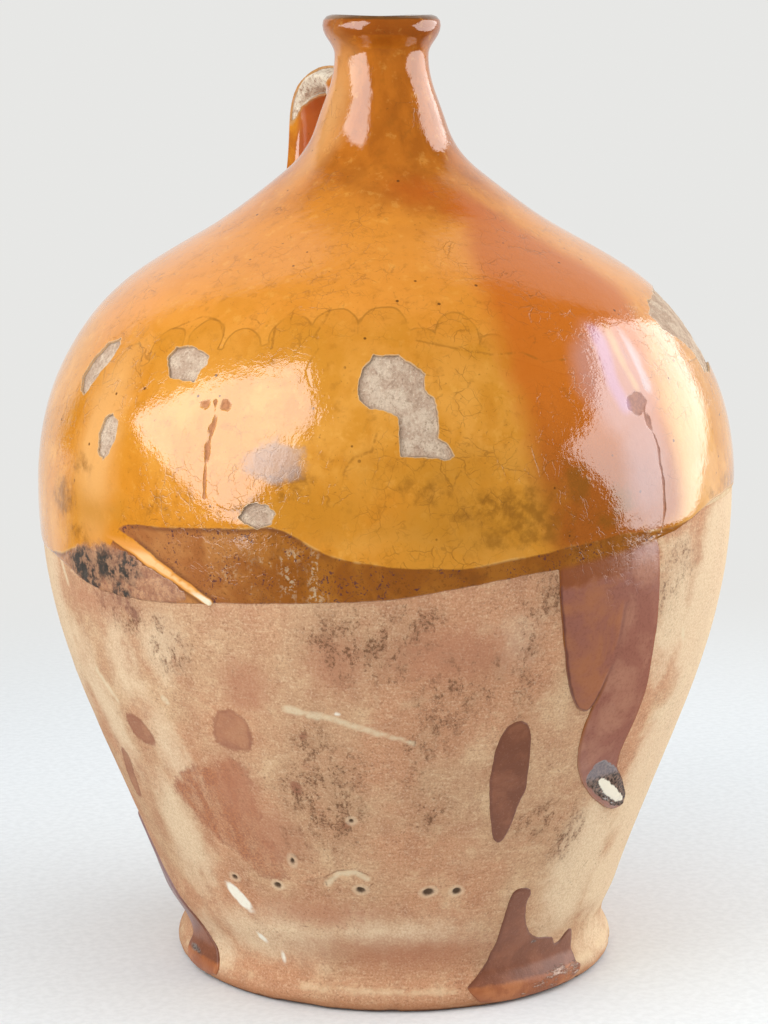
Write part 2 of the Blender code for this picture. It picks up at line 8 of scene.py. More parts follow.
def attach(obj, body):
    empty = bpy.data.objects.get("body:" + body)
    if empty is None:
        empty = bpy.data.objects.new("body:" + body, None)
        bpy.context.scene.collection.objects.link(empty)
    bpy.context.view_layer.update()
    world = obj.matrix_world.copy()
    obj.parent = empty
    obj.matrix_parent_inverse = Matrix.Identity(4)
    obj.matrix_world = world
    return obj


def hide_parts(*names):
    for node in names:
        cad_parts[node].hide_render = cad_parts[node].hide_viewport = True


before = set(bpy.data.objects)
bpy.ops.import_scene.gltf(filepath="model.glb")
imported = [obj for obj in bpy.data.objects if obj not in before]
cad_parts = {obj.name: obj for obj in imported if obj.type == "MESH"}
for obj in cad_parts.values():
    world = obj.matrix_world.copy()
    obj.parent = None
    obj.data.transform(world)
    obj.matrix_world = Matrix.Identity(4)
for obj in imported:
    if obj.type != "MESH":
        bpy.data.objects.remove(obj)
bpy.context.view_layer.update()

# ---------------------------------------------------------------- bare clay
# The jug is thrown in sections on a wheel from coarse pinkish earthenware
# and fired once. Its lower half was never glazed: it shows throwing marks,
# soot, lichen-like specks, scrapes and drops that fell on it in the kiln.

MM = 0.001
# radius, height (m) and lean (degrees from upright) up the thrown outline
THROWN = [
    (0.1035, 0.0, 60), (0.1073, 0.006, 0), (0.1035, 0.0175, 0), (0.1121, 0.040, 18.4),
    (0.1666, 0.2315, 0), (0.1450, 0.306, -33.4), (0.0873, 0.352, -60.5),
    (0.0472, 0.380, -52.3), (0.0300, 0.404, -17.8), (0.0214, 0.436, 0), (0.0271, 0.4500, 0),
]
CURVE_SHARE = 0.38
LIP_ROUND = 3.7 * MM
MOUTH_ROUND = 3.5 * MM
BORE = 14.5 * MM
LIP_TOP = 0.4540
# the photograph's right-hand side, seen from above
SIDEWAYS = np.array([0.9205, -0.3907])


def thrown_line():
    """Radius and height along the outside, from the foot over the lip into the bore."""
    line = []
    for (r0, z0, lean0), (r1, z1, lean1) in zip(THROWN, THROWN[1:]):
        ends = np.array([[r0, z0], [r1, z1]])
        leans = np.radians([lean0, lean1])
        pull = CURVE_SHARE * np.hypot(*(ends[1] - ends[0]))
        aim = np.stack([np.sin(leans), np.cos(leans)], 1) * pull
        t = np.linspace(0, 1, 90, endpoint=False)[:, None]
        line.append((1 - t) ** 3 * ends[0] + 3 * (1 - t) ** 2 * t * (ends[0] + aim[0])
                    + 3 * (1 - t) * t**2 * (ends[1] - aim[1]) + t**3 * ends[1])
    a = np.radians(np.linspace(0, 90, 24))
    lip = np.stack([np.cos(a), np.sin(a)], 1)
    line.append([THROWN[-1][0] - LIP_ROUND, LIP_TOP - LIP_ROUND] + LIP_ROUND * lip)
    mouth = np.stack([-np.sin(a), np.cos(a)], 1)
    line.append([BORE + MOUTH_ROUND, LIP_TOP - MOUTH_ROUND] + MOUTH_ROUND * mouth)
    line.append([[BORE, LIP_TOP - MOUTH_ROUND - 12 * MM]])
    return np.vstack(line)


rough_line = thrown_line()
run_of_line = np.concatenate([[0], np.cumsum(np.hypot(*np.diff(rough_line, axis=0).T))])
V = np.arange(0, run_of_line[-1], 0.25 * MM)
R, Z = (np.interp(V, run_of_line, rough_line[:, i]) for i in (0, 1))
NR, NZ = np.gradient(Z), -np.gradient(R)
NR, NZ = (np.convolve(np.pad(n, 4, mode="edge"), np.ones(9) / 9, "valid") for n in (NR, NZ))
NR, NZ = NR / np.hypot(NR, NZ), NZ / np.hypot(NR, NZ)
TOP = int(np.argmax(Z))


def along(height):
    """Distance up the outside (m) of a height (m)."""
    return np.interp(height, Z[:TOP], V[:TOP])


def smooth(value, low, high):
    t = np.clip((value - low) / (high - low), 0, 1)
    return t * t * (3 - 2 * t)


def grain(places, size, seed):
    """Smooth random number, -1 to 1, that changes over `size` metres."""
    p = places / size + seed * 17.31
    cell = np.floor(p).astype(np.int64)
    part = p - cell
    part = part * part * (3 - 2 * part)
    total = np.zeros(len(p))
    for corner in itertools.product((0, 1), repeat=3):
        n = cell + corner
        h = n[:, 0] * 73856093 ^ n[:, 1] * 19349663 ^ n[:, 2] * 83492791 ^ seed * 40503
        h = (h ^ (h >> 13)) * 1274126177 & 0xFFFFFFFF
        h = (h ^ (h >> 15)) & 0xFFFF
        total += np.prod(np.where(corner, part, 1 - part), 1) * (h / 32767.5 - 1)
    return total


def on_jug(points, lift):
    """Places of points (turn in degrees, distance up) lifted off the clay by `lift` metres."""
    turn, up = np.radians(points[:, 0]), points[:, 1]
    r, z, nr, nz = (np.interp(up, V, line) for line in (R, Z, NR, NZ))
    out = np.stack([np.sin(turn), -np.cos(turn)], 1)
    plain = np.column_stack([out * r[:, None], z])
    upright = plain * [1, 1, 2.4]
    uneven = 0.22 * grain(upright, 90 * MM, 3) + 0.09 * grain(upright, 34 * MM, 4)
    rings = 0.05 * grain(plain * [0.12, 0.12, 1], 5.5 * MM, 5)
    r_now = r + nr * (lift + (uneven + rings) * MM * smooth(r, 0.012, 0.05))
    z_now = z + nz * lift
    wavy = 0.35 * MM * (1 + np.cos(2 * (turn + 0.26))) * smooth(z, 0.440, 0.452)
    places = np.column_stack([out * r_now[:, None], np.maximum(z_now - wavy, 0.05 * MM)])
    places[:, :2] += sway(z)
    return places


# degrees of turn on the front, which is meshed finer than the back
FRONT_FROM, FRONT_TO, FRONT_STEP, BACK_COUNT = -122, 78, 0.75, 108


def grid(low, high, step, halvings=()):
    """Triangles over the outside between two distances up; each halving halves their count."""
    turns = np.concatenate([np.arange(FRONT_FROM, FRONT_TO, FRONT_STEP),
                            np.linspace(FRONT_TO, FRONT_FROM + 360, BACK_COUNT, endpoint=False)])
    turns = turns[:len(turns) // 4 * 4]
    stations = np.linspace(low, high, int(round((high - low) / step)) + 1)
    rows, points, faces = [], [], []
    for v in stations:
        keep = 2 ** sum(v > h for h in halvings)
        here = turns[::keep]
        rows.append(len(points) + np.arange(len(here)))
        points.extend(zip(here, np.full(len(here), v)))
    for lower, upper in zip(rows, rows[1:]):
        a, b = lower, np.roll(lower, -1)
        if len(lower) == len(upper):
            c, d = upper, np.roll(upper, -1)
            odd = np.arange(len(a)) % 2 == 0
            faces += [np.stack([a, b, d], 1)[odd], np.stack([a, d, c], 1)[odd],
                      np.stack([a, b, c], 1)[~odd], np.stack([b, d, c], 1)[~odd]]
        else:
            a, m, b = lower[::2], lower[1::2], np.roll(lower[::2], -1)
            c, d = upper, np.roll(upper, -1)
            faces += [np.stack(s, 1) for s in ((a, m, c), (m, d, c), (m, b, d))]
    return np.array(points), np.vstack(faces)


def split(points, faces, share_of):
    """Cuts every edge at the share that share_of gives for it (0 = uncut)."""
    ends = np.sort(faces[:, [[0, 1], [1, 2], [2, 0]]], axis=2)
    keys, spot = np.unique(ends[..., 0] * len(points) + ends[..., 1], return_inverse=True)
    a, b = keys // len(points), keys % len(points)
    share = share_of(a, b)
    cut = share > 0
    number = np.full(len(keys), -1)
    number[cut] = len(points) + np.arange(cut.sum())
    step = (points[b] - points[a])[cut]
    step[:, 0] = (step[:, 0] + 180) % 360 - 180
    points = np.vstack([points, points[a[cut]] + step * share[cut, None]])
    middle = number[spot.reshape(-1, 3)]
    cuts = (middle >= 0).sum(1)
    made = [faces[cuts == 0]]
    for count, first in ((1, lambda m: np.argmax(m >= 0, 1)),
                         (2, lambda m: np.argmin(m >= 0, 1) + 1),
                         (3, lambda m: np.zeros(len(m), int))):
        f, m = faces[cuts == count], middle[cuts == count]
        order = (first(m)[:, None] + np.arange(3)) % 3
        (x, y, z), (p, q, s) = (np.take_along_axis(k, order, 1).T for k in (f, m))
        made += [np.stack(t, 1) for t in {
            1: ((x, p, z), (p, y, z)), 2: ((p, y, q), (x, p, q), (x, q, z)),
            3: ((x, p, s), (p, y, q), (s, q, z), (p, q, s))}[count]]
    return points, np.vstack(made)


def refine(points, faces, distance, reaches):
    """Halves the edges of the faces near a contour, once for each reach (mm)."""
    for reach in reaches:
        near = np.abs(distance(points)) < reach
        busy = np.zeros(len(points), bool)
        busy[faces[near[faces].any(1)]] = True
        points, faces = split(points, faces, lambda a, b: np.where(busy[a] & busy[b], 0.5, 0))
    return points, faces


TOUCHING = 0.04      # mm, taken as no gap


def trim(points, faces, gap):
    """Cuts the faces off where gap (mm) falls below 0."""
    gap = np.where(np.abs(gap) < TOUCHING, 0, gap)
    columns = np.column_stack([points, gap])
    columns, faces = split(columns, faces, lambda a, b: np.where(
        gap[a] * gap[b] < 0, gap[a] / np.where(gap[a] == gap[b], 1, gap[a] - gap[b]), 0))
    faces = faces[columns[faces, -1].max(1) > 1e-7]
    used, faces = np.unique(faces, return_inverse=True)
    return columns[used, :-1], faces.reshape(-1, 3)


def border_of(faces):
    """Edges that only one face uses, in that face's direction."""
    ends = faces[:, [[0, 1], [1, 2], [2, 0]]].reshape(-1, 2)
    size = ends.max() + 1
    keys = ends.min(1) * size + ends.max(1)
    _, first, times = np.unique(keys, return_index=True, return_counts=True)
    return ends[first[times == 1]]


def flat(points, turn, height):
    """Millimetres across and up from a spot on the jug, as if unrolled there."""
    r = np.interp(points[:, 1], V, R)
    swing = (points[:, 0] - turn + 180) % 360 - 180
    return np.stack([np.radians(swing) * r, points[:, 1] - along(height)], 1) / MM


REACH = 30.0         # mm, how far outlines are measured
FAR_OFF = -60.0      # mm, what a field holds far from its marks
KEPT, CUT = 0.82, 0.18     # shares of a side on either hand of a cut corner


def inside(spots, outline):
    """Distance (mm) inside a closed outline, below 0 outside it; exact within its reach."""
    outline = np.asarray(outline, float)
    gap = np.full(len(spots), -REACH)
    near = ((spots > outline.min(0) - REACH) & (spots < outline.max(0) + REACH)).all(1)
    p = spots[near]
    best, within = np.full(len(p), 1e9), np.zeros(len(p), bool)
    for a, b in zip(outline, np.roll(outline, -1, 0)):
        d = b - a
        t = np.clip((p - a) @ d / (d @ d), 0, 1)
        best = np.minimum(best, np.hypot(*(p - a - t[:, None] * d).T))
        crosses = (a[1] > p[:, 1]) != (b[1] > p[:, 1])
        at = a[0] + (p[:, 1] - a[1]) / np.where(b[1] == a[1], 1, b[1] - a[1]) * d[0]
        within ^= crosses & (p[:, 0] < at)
    gap[near] = np.where(within, best, -best)
    return gap


def rounded(outline, rounds=2):
    """An outline with its corners cut off a little, again and again."""
    spots = np.asarray(outline, float)
    for _ in range(rounds):
        ahead = np.roll(spots, -1, 0)
        spots = np.stack([KEPT * spots + CUT * ahead, CUT * spots + KEPT * ahead], 1).reshape(-1, 2)
    return spots


def within(points, outline, middle):
    """Distance (mm) inside an outline given as turns and heights."""
    spots = flat(np.array([(turn, along(height)) for turn, height in outline]), *middle)
    return inside(flat(points, *middle), rounded(spots))


def blots(points, rows):
    """Distance (mm) inside the nearest oval: turn, height (m), half across, half up, any tilt."""
    best = np.full(len(points), FAR_OFF)
    for turn, height, across, up, *tilt in rows:
        x, y = flat(points, turn, height).T
        a = math.radians(sum(tilt))
        c, s = math.cos(a), math.sin(a)
        far = np.hypot((x * c + y * s) / across, (y * c - x * s) / up)
        best = np.maximum(best, (1 - far) * min(across, up))
    return best


def strokes(points, rows):
    """Distance (mm) inside the nearest line: half width, then turn and height (m) of points."""
    best = np.full(len(points), FAR_OFF)
    for half, *spots in rows:
        for (t0, z0), (t1, z1) in zip(spots, spots[1:]):
            p = flat(points, t0, z0)
            d = flat(np.array([[t1, along(z1)]]), t0, z0)[0]
            t = np.clip(p @ d / (d @ d), 0, 1)
            best = np.maximum(best, half - np.hypot(*(p - t[:, None] * d).T))
    return best


def mesh_piece(name, places, faces, fields, finish, sharp=40):
    """A mesh object of the jug with its painted fields, riding on the body."""
    mesh = bpy.data.meshes.new(name)
    mesh.from_pydata(places.tolist(), [], faces.tolist())
    for field, values in fields.items():
        mesh.attributes.new(field, "FLOAT", "POINT").data.foreach_set(
            "value", np.ascontiguousarray(values, np.float32))
    mesh.materials.append(finish)
    mesh.shade_smooth()
    mesh.set_sharp_from_angle(angle=math.radians(sharp))
    piece = bpy.data.objects.new(name, mesh)
    bpy.context.scene.collection.objects.link(piece)
    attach(piece, "root")
    return piece


def shade(code):
    """Linear colour of a hex code as a paint chart gives it."""
    parts = [int(code[i:i + 2], 16) / 255 for i in (0, 2, 4)]
    return (*[p / 12.92 if p <= 0.04045 else ((p + 0.055) / 1.055) ** 2.4 for p in parts], 1)


class Wire:
    """An output inside a material. Arithmetic on wires adds Math nodes."""

    def __init__(self, tree, socket):
        self.tree, self.socket = tree, socket

    def node(self, kind, settings, values, output=0):
        """Adds a node with its settings, then the value or wire of each input."""
        made = self.tree.nodes.new(kind)
        for name, setting in settings.items():
            setattr(made, name, setting)
        feed(made, values)
        return Wire(self.tree, made.outputs[output])

    def math(self, operation, *values):
        return self.node("ShaderNodeMath", {"operation": operation}, dict(enumerate(values)))

    def __add__(self, other):
        return self.math("ADD", self, other)

    def __sub__(self, other):
        return self.math("SUBTRACT", self, other)

    def __rsub__(self, other):
        return self.math("SUBTRACT", other, self)

    def __mul__(self, other):
        return self.math("MULTIPLY", self, other)

    __radd__ = __add__

    def most(self, other):
        return self.math("MAXIMUM", self, other)

    def rise(self, low, high):
        """0 below low, 1 above high, smooth between; low above high turns it round."""
        if low > high:
            return 1 - self.rise(high, low)
        return self.node("ShaderNodeMapRange", {"interpolation_type": "SMOOTHSTEP"},
                         {"Value": self, "From Min": low, "From Max": high})

    def tint(self, under, over):
        """Colour `over` laid on `under` with this wire as its share; either may be a hex code."""
        under, over = (shade(c) if isinstance(c, str) else c for c in (under, over))
        return self.node("ShaderNodeMix", {"data_type": "RGBA"}, {0: self, 6: under, 7: over}, 2)

    def clouds(self, size, detail, rough, warp=0.0):
        """Noise over this position wire; size in metres."""
        return self.node("ShaderNodeTexNoise", {}, {
            "Vector": self, "Scale": 1 / size, "Detail": detail, "Roughness": rough,
            "Distortion": warp})

    def cells(self, size, feature="F1"):
        """Distance in a cell pattern over this position wire."""
        return self.node("ShaderNodeTexVoronoi", {"feature": feature},
                         {"Vector": self, "Scale": 1 / size})

    def vector(self, operation, *values, output=0):
        return self.node("ShaderNodeVectorMath", {"operation": operation},
                         {0: self, **dict(enumerate(values, 1))}, output)

    def stretched(self, x, y, z):
        return self.vector("MULTIPLY", (x, y, z))

    def level(self):
        """Height of this position wire."""
        return self.node("ShaderNodeSeparateXYZ", {}, {0: self}, 2)

    def painted(self, field):
        """The value painted on the mesh under that name."""
        return self.node("ShaderNodeAttribute", {"attribute_name": field}, {}, 2)

    def relief(self, depth):
        """Normal of this wire taken as a height; depth in metres."""
        return self.node("ShaderNodeBump", {}, {"Strength": 1.0, "Distance": depth, "Height": self})


def feed(node, values):
    """Gives inputs of a node their wires or values."""
    for name, value in values.items():
        if isinstance(value, Wire):
            value.tree.links.new(value.socket, node.inputs[name])
        else:
            node.inputs[name].default_value = value


def coated(colour, *coats):
    """A colour under coats laid on in turn, each a wire for its share and its colour."""
    for share, over in coats:
        colour = share.tint(colour, over)
    return colour


def start_finish(name):
    """A new material, its main shader and the position on the jug."""
    finish = bpy.data.materials.new(name)
    finish.use_nodes = True
    tree = finish.node_tree
    place = Wire(tree, tree.nodes.new("ShaderNodeTexCoord").outputs["Object"])
    return finish, tree.nodes["Principled BSDF"], place


# fired clay: pinkish beige, tan and cream, with fine turned grain
clay_finish, shader, place = start_finish("bare_clay")
wide = place.clouds(0.075, 3, 0.55, 0.4)
mid = place.clouds(0.018, 4, 0.6, 0.3)
weep = place.stretched(1, 1, 0.22).clouds(0.007, 4, 0.6)
turned = place.stretched(0.25, 0.25, 1.5).clouds(0.0019, 3, 0.7)
fine = place.clouds(0.0010, 3, 0.7)
ragged = place.clouds(0.004, 4, 0.6) - 0.5
worn = place.clouds(0.0014, 4, 0.7)
clay = coated(
    wide.rise(0.40, 0.60).tint("c4906c", "c39a76"), (mid.rise(0.5, 0.70) * 0.55, "d8b790"),
    (mid.rise(0.48, 0.3) * 0.6, "b27e5e"), (weep.rise(0.52, 0.68) * 0.30, "a87a5c"),
    (turned.rise(0.52, 0.70) * 0.22, "94694c"), (turned.rise(0.48, 0.32) * 0.22, "e2c6a2"),
    (fine.rise(0.53, 0.66) * 0.42, "84593e"), (fine.rise(0.47, 0.34) * 0.36, "e8cfae"))
# cream bloom where the clay is dry and pale; the large wash and small drops of thin brown glaze
cream = place.painted("cream") + (mid - 0.5) * 26 + ragged * 8
wash = place.painted("wash") + ragged * 9 + (mid - 0.5) * 14
streak = place.stretched(1, 1, 0.35).clouds(0.008, 4, 0.65)
washed = wash.rise(-2.5, 2.5) * (0.42 + streak.rise(0.38, 0.60) * 0.48)
wash_edge = wash.rise(-2.0, -0.2) * wash.rise(2.2, 0.4) * mid.rise(0.47, 0.57)
stain = place.painted("brown_stain") + ragged * 4
stained = stain.rise(-1.2, 1.2) * (0.55 + mid * 0.25 + fine * 0.25)
soft_stain = (place.painted("soft_stain") + ragged * 16).rise(-7, 9) * (0.35 + mid * 0.55)
clay = coated(
    clay, (cream.rise(-9, 9) * (0.60 + fine.rise(0.56, 0.42) * 0.3), "e2caa8"),
    (washed, fine.rise(0.42, 0.6).tint("b4744e", "96604a")), (wash_edge * 0.4, "94604a"),
    (stained, mid.rise(0.42, 0.6).tint("9b644c", "ad7656")),
    (stain.rise(-1.2, 0.2) * stain.rise(2.0, 0.6) * 0.35, "8a5540"), (soft_stain, "b1775a"))
# soot, lichen-like dark specks in loose clouds, and scorched clay
speckle = place.painted("speckle") + ragged * 12
smudge = place.stretched(1, 1, 0.55).clouds(0.0062, 5, 0.72)
specks = speckle.rise(-8, 5) * smudge.rise(0.46, 0.56) * worn.rise(0.49, 0.57)
loose = worn.rise(0.57, 0.66) * place.clouds(0.03, 3, 0.6).rise(0.42, 0.60)
scorch = (place.painted("scorch") + ragged * 14).rise(-4, 4) * (0.30 + smudge.rise(0.45, 0.58) * 0.4)
clay = coated(
    # the soft brown haze round the specks: soot, and partly painted shade where the lamps' light falls
    # off in the front
    clay, (speckle.rise(-12, 8) * mid.rise(0.3, 0.6) * 0.32, "96694c"),
    (speckle.rise(-7, 6) * smudge.rise(0.48, 0.60) * 0.5, "8f6246"), (specks * 0.72, "64432c"),
    (loose * 0.5, "765038"), (scorch, "85594a"))
# pale scrapes and lime, dark scratches, and pits that are black inside with a pale ring
scrape = place.painted("scrape") + ragged * 2.4
chalk = place.painted("chalk") + ragged * 2.6
scratch = place.painted("scratch") + ragged * 0.8
pit = place.painted("pit") + ragged * 0.9
clay = coated(
    clay, (scrape.rise(-0.9, 1.1) * (0.35 + fine.rise(0.35, 0.55) * 0.35), "dfceac"),
    (chalk.rise(-0.6, 1.0) * worn.rise(0.2, 0.42), "efe9d8"),
    (scratch.rise(-0.3, 0.3) * mid.rise(0.40, 0.5) * 0.65, "7a5238"),
    (pit.rise(-2.6, -1.2) * 0.4, "ddc6a6"), (pit.rise(-0.9, 0.3) * 0.85, "3c281b"))
# the foot: a pale line, then an orange-brown lower edge, darkest in its lowest 2 mm
ragged_height = place.level() + ragged * 0.003
pale_line = ragged_height.rise(0.0075, 0.0100) * ragged_height.rise(0.0130, 0.0105)
clay = coated(
    clay, (pale_line * mid.rise(0.42, 0.56) * 0.5, "e2c8a2"),
    (ragged_height.rise(0.0070, 0.0030) * 0.55, "b4774f"), (ragged_height.rise(0.0022, 0.0004) * 0.8, "6e472e"))
feed(shader, {
    "Base Color": clay, "Roughness": 0.88 - stained * 0.2, "IOR": 1.45, "Specular IOR Level": 0.3,
    "Normal": (turned * 0.4 + fine * 0.5 + mid * 0.5 + specks * 0.12).relief(0.0005)})

# painted ovals: turn, height (m), half across, half up (mm) and, where they lean, tilt
CLAY_SPOTS = {
    "cream": [
        (-98, .175, 24, 50), (-84, .14, 12, 36, 12), (56, .185, 66, 60), (54, .11, 58, 60),
        (24, .065, 20, 38), (31, .19, 16, 32), (44, .05, 30, 26), (-55, .034, 34, 13),
        (-20, .04, 24, 8), (-62, .178, 12, 13), (-66, .125, 8, 18, 20), (-72, .08, 14, 30),
        (-2, .187, 6, 9), (-76, .02, 12, 14), (50, .012, 30, 10), (-72, .17, 10, 16),
        (170, .15, 30, 40), (110, .17, 24, 24)],
    "soft_stain": [
        (-52, .112, 12, 20), (-12, .182, 34, 13), (-46, .09, 12, 16), (-41.7, .0873, 6, 9),
        (-46, .165, 12, 13), (-40, .05, 30, 9), (-78, .193, 25, 7), (-31, .178, 13, 14),
        (-20, .03, 50, 10), (100, .06, 30, 20), (190, .12, 34, 26)],
    "speckle": [
        (-18.2, .197, 9, 10), (-22.8, .185, 13, 16), (-29, .186, 8, 14), (-9, .168, 9, 12),
        (-13.5, .157, 6, 16), (-5.5, .172, 9, 5), (-17.7, .143, 5, 18), (-.4, .184, 3, 24),
        (-15.1, .105, 7, 8), (9.6, .093, 13, 9), (27, .2, 7, 8), (31, .212, 8, 6), (-38.4, .115, 8, 12),
        (-33.5, .108, 12, 20), (-31, .125, 8, 10), (-41.7, .0873, 3, 6), (-36, .14, 6, 9),
        (-32.8, .189, 7, 9), (-66, .192, 16, 7), (-60, .178, 10, 9), (3, .205, 6, 8), (16, .085, 9, 12),
        (140, .18, 30, 16), (200, .15, 20, 30)],
    "chalk": [
        (-60, .052, 3.8, 9.6, 40), (-57, .0312, 2, 3.6, 30), (-52.4, .022, 1.2, 4),
        (-30.9, .1545, 1.4, 1.1), (146, .09, 2.5, 7, 20)],
    "scorch": [(-71, .1985, 12, 6), (-66.5, .1945, 5, 5)],
    "pit": [
        (-59.5, .0627, 1.2, 1), (-48.2, .0627, 1.4, 1.2), (-29.2, .0641, 1.7, 1.4, -10),
        (-14.6, .0626, 2.1, 1.6, 10), (-8.3, .0622, 1.7, 1.5), (-30, .1005, .8, .8),
        (-43.4, .077, .7, 1.2), (70, .063, 1.8, 1.2), (150, .0615, 1.5, 1.2)]}
BROWN_STAINS = [
    (-39.8, .1165, 2, 3.6, 20), (-37.1, .1428, 1.8, 1.8), (-31, .098, 1.5, 1.5), (120, .11, 8, 15),
    (165, .17, 5, 13)]
# outlines of the thin brown wash, and of three drops: turn and height (m)
WASH = [
    (-68.9, .1042), (-65.2, .1143), (-55.7, .1252), (-50.2, .1273), (-49.1, .1128), (-48.5, .0959),
    (-47, .079), (-45.8, .0677), (-51.1, .066), (-55.6, .0717), (-58.6, .0815), (-63.4, .0856),
    (-65.7, .095)]
DRIPPED = [
    ((-50, .142), ((-52, .1511), (-49.1, .153), (-47, .1483), (-46.2, .1406), (-47.4, .1323),
     (-49.8, .1325), (-53.9, .134), (-53.9, .144))),
    ((-73, .132), ((-75.9, .1396), (-72.2, .139), (-70, .134), (-69.3, .1272), (-72.2, .125),
     (-75.8, .1286), (-76.6, .1342))),
    ((-86, .104), ((-84.7, .118), (-82.2, .1135), (-84, .1018), (-85.7, .09), (-89.3, .0903),
     (-88.7, .101)))]
# painted and cut lines: half width (mm), then turn and height (m) of points
CLAY_LINES = {
    "scrape": [
        (2, (-39.4, .1556), (-37.4, .1545)), (.9, (-37.4, .1545), (-34.7, .154)),
        (1.8, (-35.4, .1532), (-33.8, .153)),
        (1.5, (-34, .1535), (-31.3, .1515), (-27.4, .1479), (-24, .1451)),
        (1, (-24, .1451), (-20.3, .142), (-18.3, .14)), (1.7, (-63.4, .1527), (-62.8, .1515)),
        (1.6, (-82.2, .157), (-79.5, .15), (-77.4, .144)), (1.3, (34.5, .178), (36, .171)),
        (1, (120, .14), (134, .132)), (1.6, (-88.1, .206), (-87.2, .201), (-86.4, .1965)),
        (1.4, (-36.4, .0662), (-33.7, .0722), (-30.1, .0732), (-27.6, .07))],
    "scratch": [
        (.35, (-36.6, .0655), (-36.9, .07), (-33.7, .0738), (-30.1, .0748), (-27, .0716)),
        (.35, (-27.4, .0655), (-26.2, .068)), (.4, (-22.6, .047), (-20.3, .0452)),
        (.3, (-47, .043), (-40, .041)), (.3, (-52, .036), (-49, .0385)),
        (.3, (-16, .0445), (-13.5, .0452)), (.3, (100, .05), (112, .052))]}
RIDGE = [(1.1, (-41.3, .0673), (-38, .0702), (-34.5, .0708), (-30.5, .0675), (-28.2, .0645))]
# where the meshes of lower and upper clay meet, under the glaze
SEAM_HEIGHT = 0.2335


def wall_thickness(height):
    return np.interp(height, [0.02, 0.10, 0.23, 0.38], [0.011, 0.011, 0.008, 0.0065])


def bowl_line(lift):
    """Radius and height down the inside, from the bore to the middle of the floor."""
    heights = np.concatenate([[LIP_TOP - MOUTH_ROUND], np.linspace(0.436, 0.030, 56)])
    r, nr = (np.interp(heights, Z[:TOP], line[:TOP]) for line in (R, NR))
    r -= wall_thickness(heights) / nr
    r[:2] = BORE
    a = np.radians(np.linspace(15, 90, 7))
    corner = 20 * MM
    radii = np.concatenate([r, r[-1] - corner * (1 - np.cos(a)), [0.06, 0.03]]) - lift
    levels = np.concatenate([heights, 0.030 - corner * np.sin(a), [0.010, 0.010]])
    return radii, levels + np.where(levels < 0.02, lift, 0)


def zipped(one, one_turns, two, two_turns):
    """Triangles between two rings of points, whatever their counts; ring two lies above."""
    rings = []
    for ring, turns in ((one, one_turns), (two, two_turns)):
        order = np.argsort(turns % 360)
        rings.append((ring[order], np.append((turns % 360)[order], (turns % 360)[order][0] + 360)))
    (a, ta), (b, tb) = rings
    i = j = 0
    made = []
    while i < len(a) or j < len(b):
        if j == len(b) or (i < len(a) and ta[i + 1] <= tb[j + 1]):
            made.append((a[i], a[(i + 1) % len(a)], b[j % len(b)]))
            i += 1
        else:
            made.append((a[i % len(a)], b[(j + 1) % len(b)], b[j]))
            j += 1
    return np.array(made)


def sway(level):
    """How far the uneven throwing carries the jug sideways at a height (m)."""
    lean = (3.0 * MM * np.clip(1 - level / 0.20, 0, 1) ** 1.6 + 1.2 * MM * smooth(level, 0.040, 0.012)
            - 2.1 * MM * smooth(level, 0.31, 0.41))
    return np.multiply.outer(lean, SIDEWAYS)


INSIDE_COUNT = 144


def thrown_solid(name, points, faces, lift, inner_levels, fields, finish, floor=False):
    """A thrown section: its outer skin, the inside of its wall and what joins the two."""
    blocks, made = [on_jug(points, lift)], [faces]
    rim = border_of(faces)
    high = points[rim[:, 0], 1] > points[:, 1].mean()
    top, foot = ((ends, points[ends, 0]) for ends in (rim[high, 0], rim[~high, 0]))

    def ring(radius, level):
        turns = np.arange(INSIDE_COUNT) * 360 / INSIDE_COUNT
        a = np.radians(turns)
        spots = np.column_stack([np.sin(a) * radius, -np.cos(a) * radius, np.full(INSIDE_COUNT, level)])
        spots[:, :2] += sway(level)
        start = sum(map(len, blocks))
        blocks.append(spots)
        return np.arange(start, start + INSIDE_COUNT), turns

    radii, levels = bowl_line(0)
    last = top
    for level in inner_levels:
        now = ring(np.interp(-level, -levels, radii), level)
        made.append(zipped(*last, *now))
        last = now
    if floor:
        for side, last, reach, level in ((1, last, (0.085, 0.055, 0.025), 0.010),
                                         (-1, foot, (0.095, 0.06, 0.025), 0.0)):
            for radius in reach:
                now = ring(radius, level)
                made.append(zipped(*last, *now)[:, ::side])
                last = now
            index = last[0]
            fan = np.stack([index[1:-1], index[2:], np.full(len(index) - 2, index[0])], 1)
            made.append(fan[:, ::side])
    else:
        made.append(zipped(*last, *foot))
    places = np.vstack(blocks)
    extra = len(places) - len(points)
    padded = {k: np.concatenate([v, np.full(extra, FAR_OFF)]) for k, v in fields.items()}
    return mesh_piece(name, places, np.vstack(made), padded, finish)


points, faces = grid(0, along(SEAM_HEIGHT), 2.0 * MM)
points, faces = refine(points, faces, lambda p: np.minimum(
    np.abs(blots(p, CLAY_SPOTS["pit"])), np.abs(strokes(p, RIDGE) + 1)), (4.0, 2.2))
plain = on_jug(points, 0)
fields = {name: blots(points, rows) for name, rows in CLAY_SPOTS.items()}
fields |= {name: strokes(points, rows) for name, rows in CLAY_LINES.items()}
fields["brown_stain"] = np.max([blots(points, BROWN_STAINS)] + [
    within(points, outline, middle) for middle, outline in DRIPPED], 0)
fields["wash"] = within(points, WASH, (-56, 0.095))
near_foot = smooth(points[:, 1], 22 * MM, 6 * MM)
lift = (-1.3 * smooth(fields["pit"], -0.5, 1.0) + 0.45 * smooth(strokes(points, RIDGE), -0.8, 0.9)
        - 0.12 * smooth(fields["scrape"], -0.5, 1.0)
        + 0.10 * grain(plain, 2.6 * MM, 21) * smooth(grain(plain, 14 * MM, 22), -0.2, 0.6)
        - 0.7 * near_foot * smooth(grain(plain, 9 * MM, 23), 0.25, 0.8)) * MM
